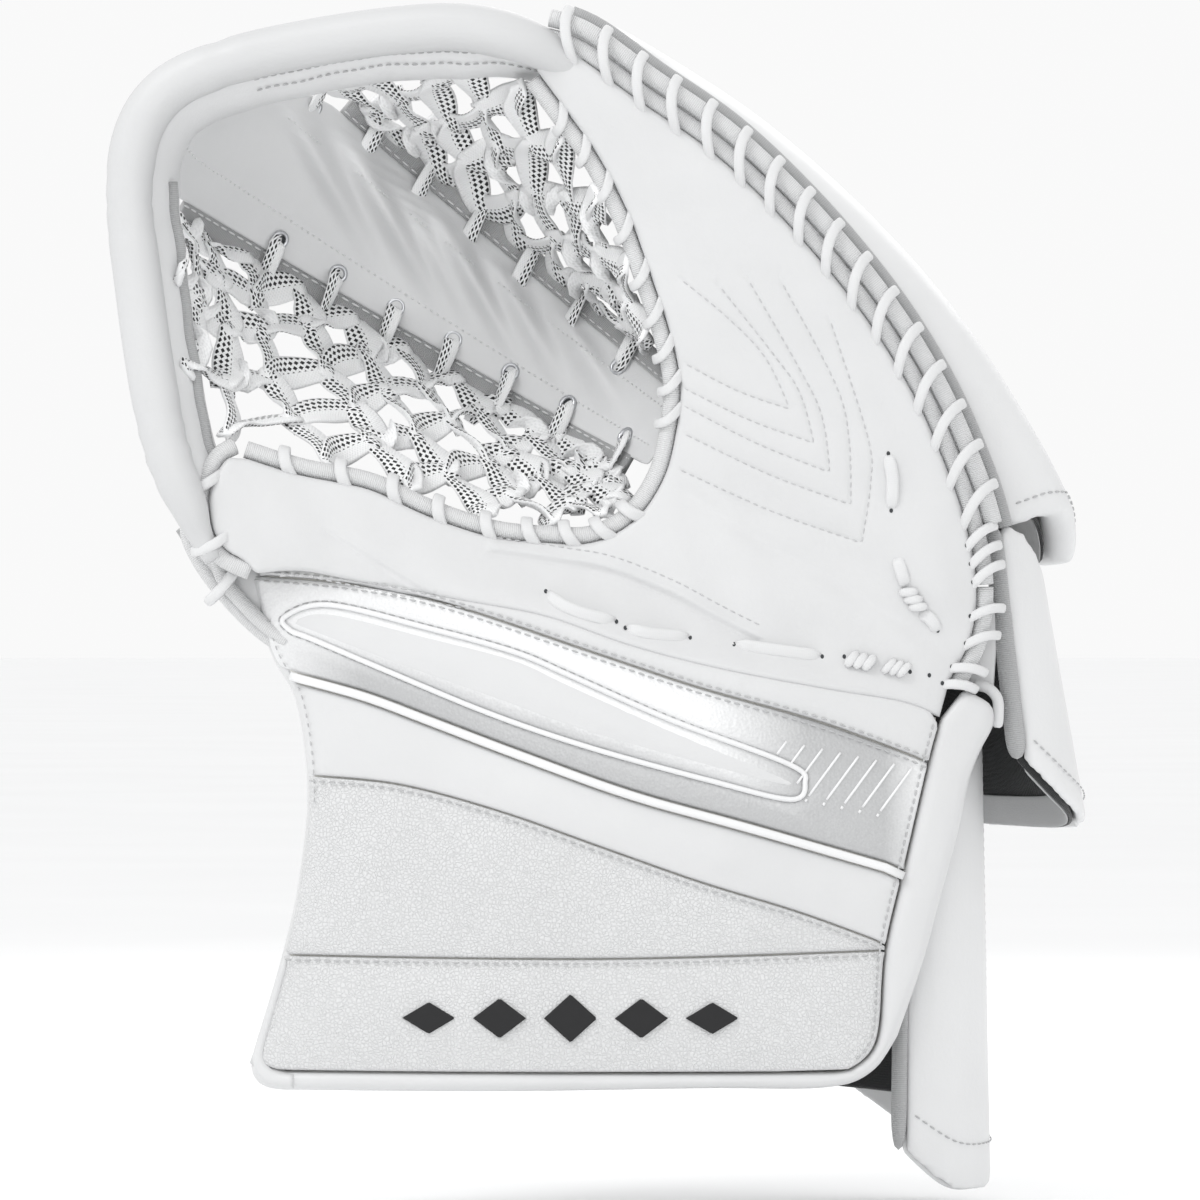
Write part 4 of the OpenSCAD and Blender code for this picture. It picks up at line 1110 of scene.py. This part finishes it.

# eyelets: a metal ring on each face of the tee, with a disc of painted shade in its hole
eyelets = {-1: [], 1: []}
NN = np.array([math.sin(TILT), 0, math.cos(TILT)])
for side in (-1, 1):
    for i in range(7):
        s = -150 - side * 8 + i * 23
        x, z = place(s, side * (tee_half(s) - 5))
        slope = -(s - TEE_MID) / math.sqrt(TEE_R**2 - (s - TEE_MID) ** 2)
        ax = np.array([math.cos(TILT), slope, -math.sin(TILT)])
        ax /= np.linalg.norm(ax)
        c = np.array([x, float(tee_y(s)) - 0.5, z])
        eyelets[side].append((c, ax, NN))
        turn = arr([p[0] * ax + p[1] * NN for p in circle(1.0, 20)])
        for back, r in ((0, 0.75), (5.8, 0.7)):
            bags["tee_eyelets"].tube(c + 2.7 * turn + [0, back, 0], circle(r, 8), up=np.cross(ax, NN),
                                     closed=True)
        # painted shade: a near-black disc in the eyelet's hole
        mid = c + [0, 0.4, 0]
        bags["eyelet_shadows"].add(np.vstack([mid + 2.2 * turn, [mid]]),
                                   [(a, (a + 1) % 20, 20) for a in range(20)])
bags["tee_eyelets"].make("tee_eyelets", METAL, THUMB)

# ---------------------------------------------------------------- nets
LOWER_RIM = [(-144, 292), (-143, 268), (-139, 243), (-128, 225), (-102, 216), (-78, 211), (-58, 203),
             (-37, 196), (-19, 193.5), (-3, 194), (6, 199)]
UPPER_RIM = [(-96, 348), (-72, 353), (-50, 352), (-33, 345), (-20, 333), (-8, 316), (2, 297), (10, 278),
             (16, 258)]
KNOT_SLACK = np.array([0.2, 0.3])


def ribbon(bag, pts, nrm, width, thick, roll, start=0.0, leaf=0.0):
    """Flat lace along pts, its face along nrm, turned by roll radians and narrowed at its ends."""
    p = arr(pts)
    t = unit(np.gradient(p, axis=0))
    n = arr(nrm)
    n = unit(n - (n * t).sum(1)[:, None] * t)
    e = np.cross(n, t)
    c, s = np.cos(roll)[:, None], np.sin(roll)[:, None]
    n, e = n * c + e * s, e * c - n * s
    w, h = width / 2, thick / 2
    section = arr([(-w, 0), (-w * 0.8, h * 0.8), (0, h), (w * 0.8, h * 0.8), (w, 0), (w * 0.8, -h * 0.8),
                   (0, -h), (-w * 0.8, -h * 0.8)])
    middle = np.sin(np.pi * np.linspace(0.06, 0.94, len(p)))
    narrow = (1 - 0.2 * np.abs(np.sin(roll))) * (1 - leaf * (1 - middle))
    verts = p[:, None] + section[:, :1] * narrow[:, None, None] * e[:, None] + section[:, 1:] * n[:, None]
    faces, uv = skin_faces(len(p), len(section), start + travel(p),
                           [0, 0.1, 0.5, 0.9, 1.0, 1.1, 1.5, 1.9, 2.0], cap_v=0.9)
    bag.add(*oriented(verts.reshape(-1, 3), faces, uv))


def net(name, rim, side, last, cols, rows, body, seed, blend=None):
    """A net of flat lace between the tee's edge and the pocket's rim, knotted where the runs cross."""
    bag = bags[name]
    low = lift(spline(rim, 120), 8.5)
    low[:, 1] += 4.5 * np.clip((low[:, 2] - 335) / 10, 0, 1)

    def surf(a, b):
        a = min(max(a, 0), 1)
        top = tee_point(0.05 + (last - 0.05) * a, side, 1.0, 6.6)
        bot = np.array([np.interp(a * 120, np.arange(121), low[:, i]) for i in range(3)])
        return top + (bot - top) * b + [0, 5.0 * math.sin(math.pi * b), 0]

    def normal(a, b, h=0.01):
        n = unit(np.cross(surf(a + h, b) - surf(a - h, b), surf(a, b + h) - surf(a, b - h)))
        return n if n[1] < 0 else -n

    # knots on a staggered grid
    r = np.random.default_rng(seed)
    knots = {}
    for j in range(rows + 1):
        for i in range(cols + 1):
            a = (i + (0.5 if j % 2 else 0.0)) / cols
            if a > 1.001:
                continue
            slack = (r.random(2) - 0.5) * KNOT_SLACK / (cols, rows)
            if j in (0, rows) or i in (0, cols):
                slack *= 0.3
            knots[i, j] = (a + slack[0], j / rows + slack[1])
    for (i, j), (a0, b0) in knots.items():
        for second, end in enumerate(((i, j + 1), (i + (1 if j % 2 else -1), j + 1))):
            if end not in knots:
                continue
            a1, b1 = knots[end]
            tt = np.linspace(-0.08, 1.08 if j < rows - 1 else 1.22, 15)
            bulge = (0.12 / cols) * (1 if second else -1) * (1 if j % 2 else -1)
            over = 1.6 if second else -0.6
            pts, nr = [], []
            for t in tt:
                a = a0 + (a1 - a0) * t + bulge * math.sin(math.pi * t)
                b = b0 + (b1 - b0) * t
                nr.append(normal(a, b))
                pts.append(surf(a, b) + nr[-1] * (over * math.cos(math.pi * 2 * t) * 0.5 + 0.5))
            turns = r.choice([0.5, -0.5, 0.8, -0.8, math.pi])
            base_turn = r.choice([0.0, math.pi]) + (r.random() - 0.5) * 0.7
            q = np.clip((tt - 0.5) / (0.44 if abs(turns) > 3 else 1.0) + 0.5, 0, 1)
            wide_run = surf(min(a0 + 1 / cols, 1), b0) - surf(max(a0 - 1 / cols, 0), b0)
            cell = np.linalg.norm(wide_run) / 2 + 0.5 * np.linalg.norm(surf(a0, 0) - surf(a0, 1)) / rows
            ribbon(bag, pts, nr, float(np.clip(0.7 * cell, 7.6, 14.0)), 1.9,
                   base_turn + turns * q * q * (3 - 2 * q), start=float(r.random() * 40), leaf=0.5)
    # a small wrap over each inner knot
    tt = np.linspace(-1, 1, 13)
    for (i, j), (a, b) in knots.items():
        if j in (0, rows) or i == 0:
            continue
        n = normal(a, b)
        c = surf(a, b) + n * 1.6
        angle = r.random() * math.pi
        d = unit(surf(a + 0.02, b) - surf(a - 0.02, b))
        run = d * math.cos(angle) + np.cross(n, d) * math.sin(angle)
        pts = [c + run * 5.4 * t - n * 3.4 * t * t for t in tt]
        start = float(r.random() * 40)
        ribbon(bag, pts, [n + run * 1.2 * t for t in tt], 8.4, 2.0, np.full(13, r.choice([0.0, math.pi])),
               start=start, leaf=0.5)
    bag.make(name, LACE_DOTS, body, blend=blend)


net("lower_net", LOWER_RIM, -1, 0.95, 8, 5, THUMB, 4)
net("upper_net", UPPER_RIM, 1, 0.84, 7, 4, FINGER, 9, ROLL_BREAK)

# laces that hang from the eyelets down to the nets
for side, name, tilt in ((-1, "lower_net_ties", 0.35), (1, "upper_net_ties", -0.2)):
    for q, (c, ax, nn) in enumerate(eyelets[side]):
        drop = ((0, 3.0, 0), (0.8, -1.0, 0), (3.5, -2.4, 3), (7.5, -2.2, 6), (12, -0.5, 9), (15, 3.0, 10))
        pts = spline([c + nn * side * down + ax * tilt * aside + [0, y, 0] for down, y, aside in drop], 16)
        face = -np.cross(ax, nn)
        face = -face if face[1] > 0 else face
        twist = np.linspace(0, 0.9 if q % 2 else -0.7, 17) + (math.pi if q % 3 == 1 else 0)
        ribbon(bags[name], pts, np.tile(face, (17, 1)), 6.4, 1.6, twist, start=q * 17.0)
    bags[name].make(name, LACE_DOTS, THUMB)

# ---------------------------------------------------------------- perimeter
STEP, PER_R = 3.0, 7.6
PINCHES = ((34, 3.2, 0.07), (43, 2.8, 0.10), (52, 3.4, 0.06), (118, 3.0, 0.05), (126, 3.0, 0.08),
           (134, 3.5, 0.05), (190, 3.0, 0.06), (10, 5, 0.06))
run = [(-131, 180), (-136, 190), (-139, 198)] + PERIMETER + [(-18, 353), (-6, 346), (2, 340)]
roll_path = lift(even(spline(run, 140), STEP), -2)
count = len(roll_path)
done = np.arange(count) * STEP
left_over = done[::-1]
roll_path[:, 1] += 9.0 * bell(left_over, 0, 26.0) + 5.0 * bell(done, 0, 16.0)
thin = 1.0 - sum(h * bell(done, c, w) for c, w, h in PINCHES)
near_end = np.clip(np.minimum(done, left_over) / 44.0, 0, 1)
thin = thin * np.minimum(1, 0.35 + 0.65 * np.sin(near_end * np.pi / 2))
tube("perimeter_roll", roll_path, oval(PER_R * 1.08, PER_R, 20), WHITE_ROLL, THUMB, taper=thin,
     blend=ROLL_BREAK, pad=0.9)
# the wall behind the roll: rows of (share of its reach inwards, depth, how much of the wave it has)
WALL_ROWS = ((0.30, 3.5, 0.2), (0.5, 5.5, 0.4), (0.72, 9.0, 0.8), (0.9, 13.5, 1.0), (1.0, 19.0, 0.7),
             (1.02, 27.0, 0.4), (0.9, 35.0, 0.2))
wall, wall_back = [], []
points, ways, *_ = frames(roll_path)
for i, (c, way, f) in enumerate(zip(points, ways, travel(roll_path) / travel(roll_path)[-1])):
    inward = np.cross(way, [0, 1, 0])
    if inward[0] * (-60 - c[0]) + inward[2] * (280 - c[2]) < 0:
        inward = -inward
    reach_in = 16.0 * min(1, f / 0.12 + 0.35) * min(1, (1 - f) / 0.25 + 0.35)
    wave = 0.25 * math.sin(i * 0.9) + 0.35 * math.sin(i * 0.37) + 0.4 * math.sin(i * 0.21 + 1)
    wall.append([c + [0, y + 0.5 * wave * k, 0] + inward * (reach_in * x + wave * k)
                 for x, y, k in WALL_ROWS])
    wall_back.append([q - inward * 2.6 + [0, 1.4, 0] for q in wall[-1]])
wall = arr(wall)
shell("perimeter_band", wall, wall_back, TEE, THUMB, slot="binding", blend=ROLL_BREAK)
tube("perimeter_rim", wall[6:int(count * 0.42), 3] - [0, 0.4, 0], circle(1.9, 10), RIB_GREY, THUMB)
for k in (1, 2):
    stitches(bags["perimeter_stitching"], wall[int(count * 0.6):int(count * 0.94), k] - [0, 0.9, 0], 3.0, 2.0,
             0.35)

# ---------------------------------------------------------------- thumb back
TH_TOP = [(-137, 203), (-116, 206), (-86, 203), (-55, 193), (-25, 184)]
TH_LOW = [(-141, 193), (-126, 172), (-104, 158), (-66, 148), (-25, 140)]
PALM_THICK = 12.1
tt_top, tt_low = spline(TH_TOP, 40), spline(TH_LOW, 40)


def thumb_point(t, v, inward):
    """A point of the thumb's back pad: t from the thumb's side to the cuff, v down its arch."""
    a, b = tt_top[int(round(t * 40))], tt_low[int(round(t * 40))]
    q = a + (b - a) * v
    y0 = float(palm_y(q[0], q[1])) + PALM_THICK + 1
    base_y = y0 + (-30 - y0) * min(v * 2, 1)
    rise = 30 + 9 * min(t * 3, 1) - inward
    return np.array([q[0], base_y + rise * math.sin(math.pi * (0.06 + 0.88 * v)) ** 0.6, q[1]])


def thumb_grid(inward, m=20, n=12, inset=0.0):
    return np.array([[thumb_point(inset + (1 - 2 * inset) * i / m, inset + (1 - 2 * inset) * j / n, inward)
                      for j in range(n + 1)] for i in range(m + 1)])


channels = [[thumb_point(t, v, 1.0) for v in np.linspace(0.1, 0.95, 60)] for t in (0.36, 0.68)]
channels += [[thumb_point(t, 0.9, 1.0) for t in np.linspace(0.04, 0.96, 80)]]
sewn = [(thumb_grid(7.8, 40, 24), 2.2), (np.vstack(channels), 1.7)]
shell("thumb_back_pad", thumb_grid(1.0), thumb_grid(7.8), WHITE, THUMB, rim=0.3, swell=(sewn, 2.6, 16.0, 4.5),
      pad=0.7)
for c in channels:
    stitches(cuff_thread, even(arr(c) + [0, 0.25, 0], 1.5), 3.2, 2.1, 0.32)
shell("thumb_pad_liner", thumb_grid(8.2, inset=0.07), thumb_grid(9.8, inset=0.07), BLACK, THUMB, rim=0.1)
hem_line = [(q[0], thumb_point(i / 40, 1, 3)[1], q[1]) for i, q in enumerate(shift(tt_low, -2.8))]
tube("thumb_pad_binding", hem_line, circle(2.4, 10), RIB_GREY, THUMB)

# ---------------------------------------------------------------- backhand
REACH = [0.748, 0.742, 0.748, 0.80, 0.80, 0.735, 0.70, 0.69]


def pad_point(t, jf, inward, swell=0.0):
    """A point of the backhand pad: t down the hand's edge, jf from 0 to 7 round the section."""
    f = 0.06 + (float(np.interp(jf, range(8), REACH)) - 0.06) * t
    q, h = spline(OUTER, 1, f, f)[0], spline(OUTER, 1, f + 0.01, f + 0.01)[0]
    e = arr([q[1] - h[1], h[0] - q[0]])
    e /= np.linalg.norm(e)
    b = 4 + 23 * t**1.35
    w = float(np.interp(t, [0, 0.15, 0.3, 0.5, 0.7, 1], [9, 17, 27, 42, 60, 74]))
    front = float(palm_y(*q)) + 22
    section = arr([(10.5, front), (10.5 + 0.7 * b, front + 8), (10.5 + b, -4), (10.5 + b, 14),
                   (10.5 + 0.6 * b, 37), (-8, 53), (-0.5 * w, 58), (-w, 56)])
    p = spline(section, 1, jf / 7, jf / 7)[0]
    c = arr([-10, 4])
    r = c + (p - c) * (1 - (inward - swell) / np.linalg.norm(p - c))
    return np.array([q[0] + e[0] * r[0], r[1], q[1] + e[1] * r[0]])


def pad_grid(inward, m=26, n=28):
    return np.array([[pad_point(i / m, 7 * j / n, inward) for j in range(n + 1)] for i in range(m + 1)])


channels = [[pad_point(t, j, 1.4) for t in np.linspace(0.02, 0.97, 150)] for j in (3.9, 5.4)]
channels += [[pad_point(t, j, 1.4) for j in np.linspace(3.9, 6.9, 60)] for t in (0.3, 0.47, 0.63, 0.8)]
channels += [[pad_point(0.965, j, 1.3) for j in np.linspace(0.4, 6.8, 110)]]
fine = pad_grid(13.4, 40, 40)
sewn = [(fine, 3.5), (np.vstack(channels), 2.0)]
shell("backhand_pad", pad_grid(1.2), pad_grid(13.4), WHITE_PAD, FINGER, rim=0.25,
      swell=(sewn, 3.4, 16.0, 6.0), pad=0.8)
for c in channels:
    raised = arr(c) * [1 + 0.03 * 0.004, 1 + 0.004, 1 + 0.03 * 0.004]
    stitches(bags["backhand_stitching"], even(raised, 1.6), 3.3, 2.2, 0.34)
shell("backhand_liner", pad_grid(14.2, 20, 16), pad_grid(15.8, 20, 16), BLACK, FINGER, rim=0.1)
shell("backhand_hem_tape", pad_grid(15.9, 40, 28)[-5:, 9:17], pad_grid(16.7, 40, 28)[-5:, 9:17], RIB_GREY,
      FINGER, rim=0.1)
tube("backhand_pad_binding", [pad_point(i / 50, 0, 0) - [0, 2.8, 0] for i in range(51)], circle(2.9, 12),
     RIB_GREY, FINGER)
for x, ztop in ((37, 284), (57, 284), (77, 262), (97, 236)):
    zs = np.linspace(207, ztop - 1, 14)
    wing = np.array([[[x - 0.9, float(palm_y(x, z)) + 13.2 + k * 2.9, z] for k in range(6)] for z in zs])
    faces, loop = two_skins(14, 6)
    loop = [i * 6 + j for i, j in loop]
    faces += [(a, b, b + 84, a + 84) for a, b in zip(loop, loop[1:] + loop[:1])]
    wing = wing.reshape(-1, 3)
    bags["finger_dividers"].add(*oriented(np.vstack([wing, wing + [1.8, 0, 0]]), faces))
bags["finger_dividers"].make("finger_dividers", BLACK, FINGER)

# ---------------------------------------------------------------- guards
# each guard: its upper and lower line seen from above, and the heights of those lines
GUARDS = {
    "wrist_guard": ([(139, -25), (147, -18), (153, -5), (150, 14), (136, 30), (112, 41), (88, 44)],
                    [(148, -27), (160, -20), (168, -5), (166, 18), (150, 39), (122, 52), (90, 56)],
                    [192, 189, 177, 168, 162, 160, 160], [112, 100, 92, 88, 88, 90, 94]),
    "cuff_guard": ([(108, -24), (121, -19), (130, -8), (132, 6), (122, 22), (100, 32), (74, 36)],
                   [(106, -25), (122, -20), (133, -7), (135, 12), (124, 33), (98, 45), (70, 49)],
                   [112, 118, 122, 122, 120, 118, 114], [-22, -34, -36, -34, -26, -10, 8]),
}
GUARD_MID = arr([95, 0])


def guard_grid(g, inward, m=18, n=30):
    """Points of a guard's surface, moved inwards towards the wrist."""
    top, low, top_z, low_z = GUARDS[g]
    upper, lower = spline(top, n), spline(low, n)
    upper_z, lower_z = (spline([[z, 0] for z in zs], n)[:, :1] for zs in (top_z, low_z))
    out = []
    for f in np.arange(m + 1) / m:
        d = upper + (lower - upper) * f - GUARD_MID
        d = GUARD_MID + d * (1 - inward / np.linalg.norm(d, axis=1)[:, None])
        out.append(np.hstack([d, upper_z + (lower_z - upper_z) * f]))
    return np.array(out)


for g in GUARDS:
    body = g + "_flap"
    fine = guard_grid(g, 0.6, 60, 90)
    hems = [fine[54, 2:-2], fine[6, 2:-2] if g == "cuff_guard" else fine[54, 2:-2], fine[3:-5, 84],
            fine[3:-5, 45]]
    sewn = [(guard_grid(g, 4.8, 54, 90), 1.5), (np.vstack(hems), 1.3)]
    shell(g, guard_grid(g, 0.6), guard_grid(g, 4.8), WHITE_PAD, body, rim=0.35, swell=(sewn, 2.2, 12.0, 3.5),
          pad=0.5)
    for line in hems[:1] + hems[2:]:
        raised = line + (line - [95, 0, 0]) * [0.009, 0.009, 0]
        stitches(bags[g + "_stitching"], even(raised, 1.5), 3.2, 2.1, 0.3)
    shell(g + "_liner", guard_grid(g, 5.4), guard_grid(g, 6.9), BLACK if g == "wrist_guard" else TEE, body,
          slot="lining", rim=0.1)
    if g == "wrist_guard":
        shell("wrist_guard_hem_tape", guard_grid(g, 6.95, 36)[-6:, 2:-2], guard_grid(g, 7.7, 36)[-6:, 2:-2],
              RIB_GREY, body, rim=0.1)
    o, i_ = guard_grid(g, -0.4), guard_grid(g, 6.9)
    out_by = (o[:, 0] - o[:, 1]) * [1, 1, 0]
    out_by /= np.linalg.norm(out_by, axis=1)[:, None]
    mid = (o[:, 0] + i_[:, 0]) / 2 + out_by * 2.6
    order = np.arange(len(mid))
    ease = np.sin(np.pi * np.clip(np.minimum(order, order[::-1]) / 2.5 + 0.18, 0, 0.5))
    tube(g + "_binding", mid, oval(2.5, 3.7, 14), RIB_GREY, body, up=i_[:, 0] - o[:, 0], taper=ease, sub=1)

# ---------------------------------------------------------------- wall and straps behind the hand
BACK_WALL = [(-8, 15), (20, 20), (52, 21), (84, 17), (106, 8)]
BACK_OUT = [(-9, 6), (107, -4), (107, 112), (104, 132), (76, 160), (44, 182), (14, 188), (0, 168), (-9, 130)]
bw = spline(BACK_WALL, 60)


def wall_y(x, z=0):
    return np.interp(x, bw[:, 0], bw[:, 1])


panel_out = arr(BACK_OUT)
panel_out[:, 0] = np.clip(panel_out[:, 0], -7, 105.5)
quilt = [(arr([(x, 2), (x + 4, 100), (x * 0.9 + 6, 180)]), 1.3, 1.6) for x in (16, 42, 68, 92)]
quilt += [(arr([(-6, z), (104, z - 3)]), 1.3, 1.6) for z in (24, 90, 146)]
quilt.append((looped(shift(panel_out, 4.5)), 0.9, 1.2))
panel("hand_back_panel", panel_out, lambda x, z: wall_y(x) + 2.7, 2.7, BLACK, THUMB, edge=1.3, puff=1.3,
      reach=6, seams=quilt, pad=0.4, face=-1)
for line, _, _ in quilt:
    q = even(line, 2.5)
    stitches(bags["hand_back_stitching"], lift(q[inside(q, panel_out)], 3.4, wall_y), 3.4, 2.2, 0.3)

# each strap curls round its ring, runs across to the wall and lies on its patch
STRAP_W, RING_X, RING_Y, CURL_R = 31.6, -64.0, 12.0, 3.0
STRAPS = (("wrist_strap", 62), ("hand_strap", 118))
curl = [(RING_X + CURL_R * math.cos(a), RING_Y + CURL_R * math.sin(a))
        for a in np.radians(range(330, 89, -24))]
tail = shift(spline(BACK_WALL, 24, 0.24, 0.48), 7.4)
strap_xy = np.vstack([curl, spline([curl[-1], (-50, 16.5), (-30, 20.5), (-10, 24), tail[0]], 30)[1:],
                      tail[1:]])
far = shift(strap_xy, 0.95)
if far[20][1] < strap_xy[20][1]:
    far = shift(strap_xy, -0.95)


def at_height(xy, z):
    return [(x, y, z) for x, y in xy]


for name, z in STRAPS:
    tube(name, at_height(strap_xy, z), box_profile(1.7, STRAP_W, 0.4), WEB, name + "_band", up=UP)
    sew = bags[name + "_stitching"]
    for dz in (-13.6, 13.6):
        stitches(sew, at_height(even(far[14:-1], 2.0), z + dz), 3.2, 2.1, 0.3)
    for k in (0.2, 0.32, 0.97):
        x, y = far[int(k * (len(far) - 1))]
        stitches(sew, [(x, y, z + d) for d in np.linspace(-13, 13, 14)], 3.2, 2.1, 0.3)
    sew.make(name + "_stitching", THREAD_DIM, name + "_band")
patch = shift(spline(BACK_WALL, 24, 0.27, 0.55), 5.1)
loop_xy = [(RING_X + 2.8 * math.cos(math.radians(a)), RING_Y - 16 + 2.8 * math.sin(math.radians(a)))
           for a in range(-60, 250, 24)]
tab_xy = loop_xy + [(RING_X, -12), (RING_X, -34), (RING_X - 5, -36.2), (RING_X - 13, -36.0)]
for _, z in STRAPS:
    bags["strap_patches"].tube(at_height(patch, z), box_profile(1.5, STRAP_W, 0.3), up=UP)
    corners = arr([(RING_Y - 16, z - 19), (RING_Y, z - 19), (RING_Y, z + 19), (RING_Y - 16, z + 19)])
    wire = [(RING_X, *(a + (b - a) * f)) for a, b in zip(corners, np.roll(corners, -1, 0))
            for f in np.linspace(0.08, 0.92, 6)]
    bags["strap_rings"].tube(wire, circle(1.55, 10), up=(1, 0, 0), closed=True)
    bags["strap_tabs"].tube(at_height(tab_xy, z), box_profile(1.6, STRAP_W, 0.4), up=UP)
for name, mat in (("strap_patches", FUZZ), ("strap_rings", METAL), ("strap_tabs", WEB)):
    bags[name].make(name, mat, THUMB)


# ---------------------------------------------------------------- palm lacing
def surface_lace(bag, pts, width=4.4, thick=2.0, h=1.4):
    """A lace that comes out of one hole in the palm, lies on it and goes into the next."""
    p = even(spline(pts, 14), 1.6)
    t = np.linspace(0, 1, len(p))
    end = np.minimum(t, 1 - t)
    q = palm_front(p)
    q[:, 1] += 0.7 - h * np.clip(end * len(p) * 0.35, 0, 1) ** 0.6
    bag.tube(q, box_profile(width, thick, 0.48), taper=0.55 + 0.45 * np.clip(end * 9, 0, 1))


def twist_knot(bag, a, b, turns=3):
    """A lace wound round itself: a row of slanted bands."""
    a, b = arr(a), arr(b)
    d = (b - a) / np.linalg.norm(b - a)
    n = np.array([-d[1], d[0]])
    for i in range(turns):
        c = a + (b - a) * (i + 0.5) / turns
        q = palm_front([c + n * 2.6 * t + d * 1.5 * t for t in np.linspace(-1, 1, 9)])
        q[:, 1] -= 0.4 + 1.7 * np.cos(np.linspace(-1.35, 1.35, 9))
        bag.tube(q, box_profile(np.linalg.norm(b - a) / turns, 1.9, 0.48),
                 taper=[0.6, 0.85, 1, 1, 1, 1, 1, 0.85, 0.6])


panel("heel_tab", [(121, 136), (134.6, 135), (135.6, 150), (135.2, 168), (126, 170)],
      lambda x, z: -27.0 + 0 * x, 2.2, WHITE, THUMB, edge=0.9, puff=0.8, reach=5, grid=3.0)
gusset = [(-139, 199), (-141, 190), (-136, 178), (-127, 167), (-117, 158), (-109, 153), (-106, 166),
          (-110, 178), (-122, 186), (-130, 196)]
panel("thumb_gusset", loop_curve(gusset, 4), lambda x, z: np.maximum(palm_y(x, z) + 7.5, cuff_y(x) + 4.5),
      2.4, WHITE, THUMB, edge=1.0, puff=0.8, reach=5, grid=3.0)
for k, (line, dy) in enumerate((
        ([(-138.5, 201), (-141, 190), (-136, 178.5), (-127, 167), (-117, 157), (-106, 149)], 9.0),
        ([(-131, 183), (-128.5, 174), (-122, 166), (-115, 159), (-106, 152)], 5.0))):
    x, z = spline(line, 24).T
    edge = np.stack([x, np.maximum(palm_y(x, z), cuff_y(x) - 3) + dy, z], 1)
    tube("thumb_gusset_binding%d" % k, edge, circle(2.5, 12, 1.2), RIB_WHITE, THUMB)
# discs of painted shade at the palm's lace holes
for p in ((-18.4, 169.6), (5.6, 159.3), (8.6, 157.2), (30.6, 153.9), (45.5, 151.6), (75.5, 147.4),
          (83, 147.4), (105.4, 142.2), (98, 216.4), (99, 197.0), (114.9, 156.2), (112, 141)):
    hole_shade_spot(p)
palm_laces = bags["palm_laces"]
for a, b in (((84, 146.8), (93, 145)), ((97, 144.5), (104.5, 142.5)), ((104, 170.5), (109, 163))):
    twist_knot(palm_laces, a, b)
for pts in ([(-18, 169), (-13, 165), (-4, 161.5), (5, 159.5)], [(9, 157), (18, 155), (30, 154)],
            [(46, 151.5), (60, 149.5), (75, 147.5)], [(98, 216), (99.5, 207), (99, 197.5)],
            [(101, 181), (102.5, 176), (104, 171)], [(108.5, 162), (112, 160.5), (115, 156)]):
    surface_lace(palm_laces, pts)
palm_laces.make("palm_laces", LACE, THUMB, blend=BREAK)

# threads, painted hole shade and eyelet shadows that were gathered along the way
for name, mat, body, blend in (
        ("hand_back_stitching", THREAD_DIM, THUMB, None), ("backhand_stitching", THREAD_DIM, FINGER, None),
        ("wrist_guard_stitching", THREAD_DIM, "wrist_guard_flap", None),
        ("cuff_guard_stitching", THREAD_DIM, "cuff_guard_flap", None),
        ("cuff_stitching", THREAD_DIM, THUMB, None),
        ("perimeter_stitching", THREAD_DIM, THUMB, ROLL_BREAK),
        ("palm_stitching", THREAD_SOFT, FINGER, BREAK),
        ("palm_lace_holes", HOLE_SHADE, THUMB, BREAK), ("tee_stitching", THREAD, THUMB, None),
        ("eyelet_shadows", HOLE_SHADE, THUMB, None)):
    bags[name].make(name, mat, body, blend=blend)


# ---------------------------------------------------------------- stage, light and camera
def floor(height, size, tone=0.96):
    bpy.ops.mesh.primitive_plane_add(size=size, location=(0, 0, height))
    ob = bpy.context.object
    ob.name = "floor"
    m = Nodes("floor_paint")
    m.color(m.ramp(m.noise(3, 2), [(0.3, grey(tone)), (0.7, grey(tone + 0.02))]))
    m.set(Roughness=0.9)
    ob.data.materials.append(m.mat)


def light(name, loc, size, power):
    lamp = bpy.data.lights.new(name, "AREA")
    lamp.energy = power
    lamp.size = size
    ob = bpy.data.objects.new(name, lamp)
    ob.location = loc
    ob.rotation_euler = (Vector((0, 0, 0.165)) - Vector(loc)).to_track_quat("-Z", "Y").to_euler()
    bpy.context.scene.collection.objects.link(ob)


floor(-0.042, 60)
light("key", (-1.0, -1.0, 1.7), 0.7, 13)
light("front", (0.1, -2.6, 0.5), 1.0, 6)
light("back", (0.5, 1.5, 1.2), 1.2, 7)
scene = bpy.context.scene
scene.world = bpy.data.worlds.new("world")
scene.world.use_nodes = True
sky = scene.world.node_tree.nodes["Background"]
sky.inputs[0].default_value = (1, 1, 1, 1)
sky.inputs[1].default_value = 0.95
scene.view_settings.view_transform = "Standard"

# the photograph is 0.408 m wide at the front of the glove, 0.045 m before the frame's origin
PHOTO_W, FRONT_Y, CAMERA_Y, CAMERA_Z, LENS = 0.408, 0.045, 3.2, 0.1666, 50
cam = bpy.data.cameras.new("camera")
cam.lens = LENS
cam.sensor_width = 2 * LENS * (PHOTO_W / 2) / (CAMERA_Y - FRONT_Y)
ob = bpy.data.objects.new("camera", cam)
ob.location = (0, -CAMERA_Y, CAMERA_Z)
ob.rotation_euler = (math.radians(90), 0, 0)
scene.collection.objects.link(ob)
scene.camera = ob
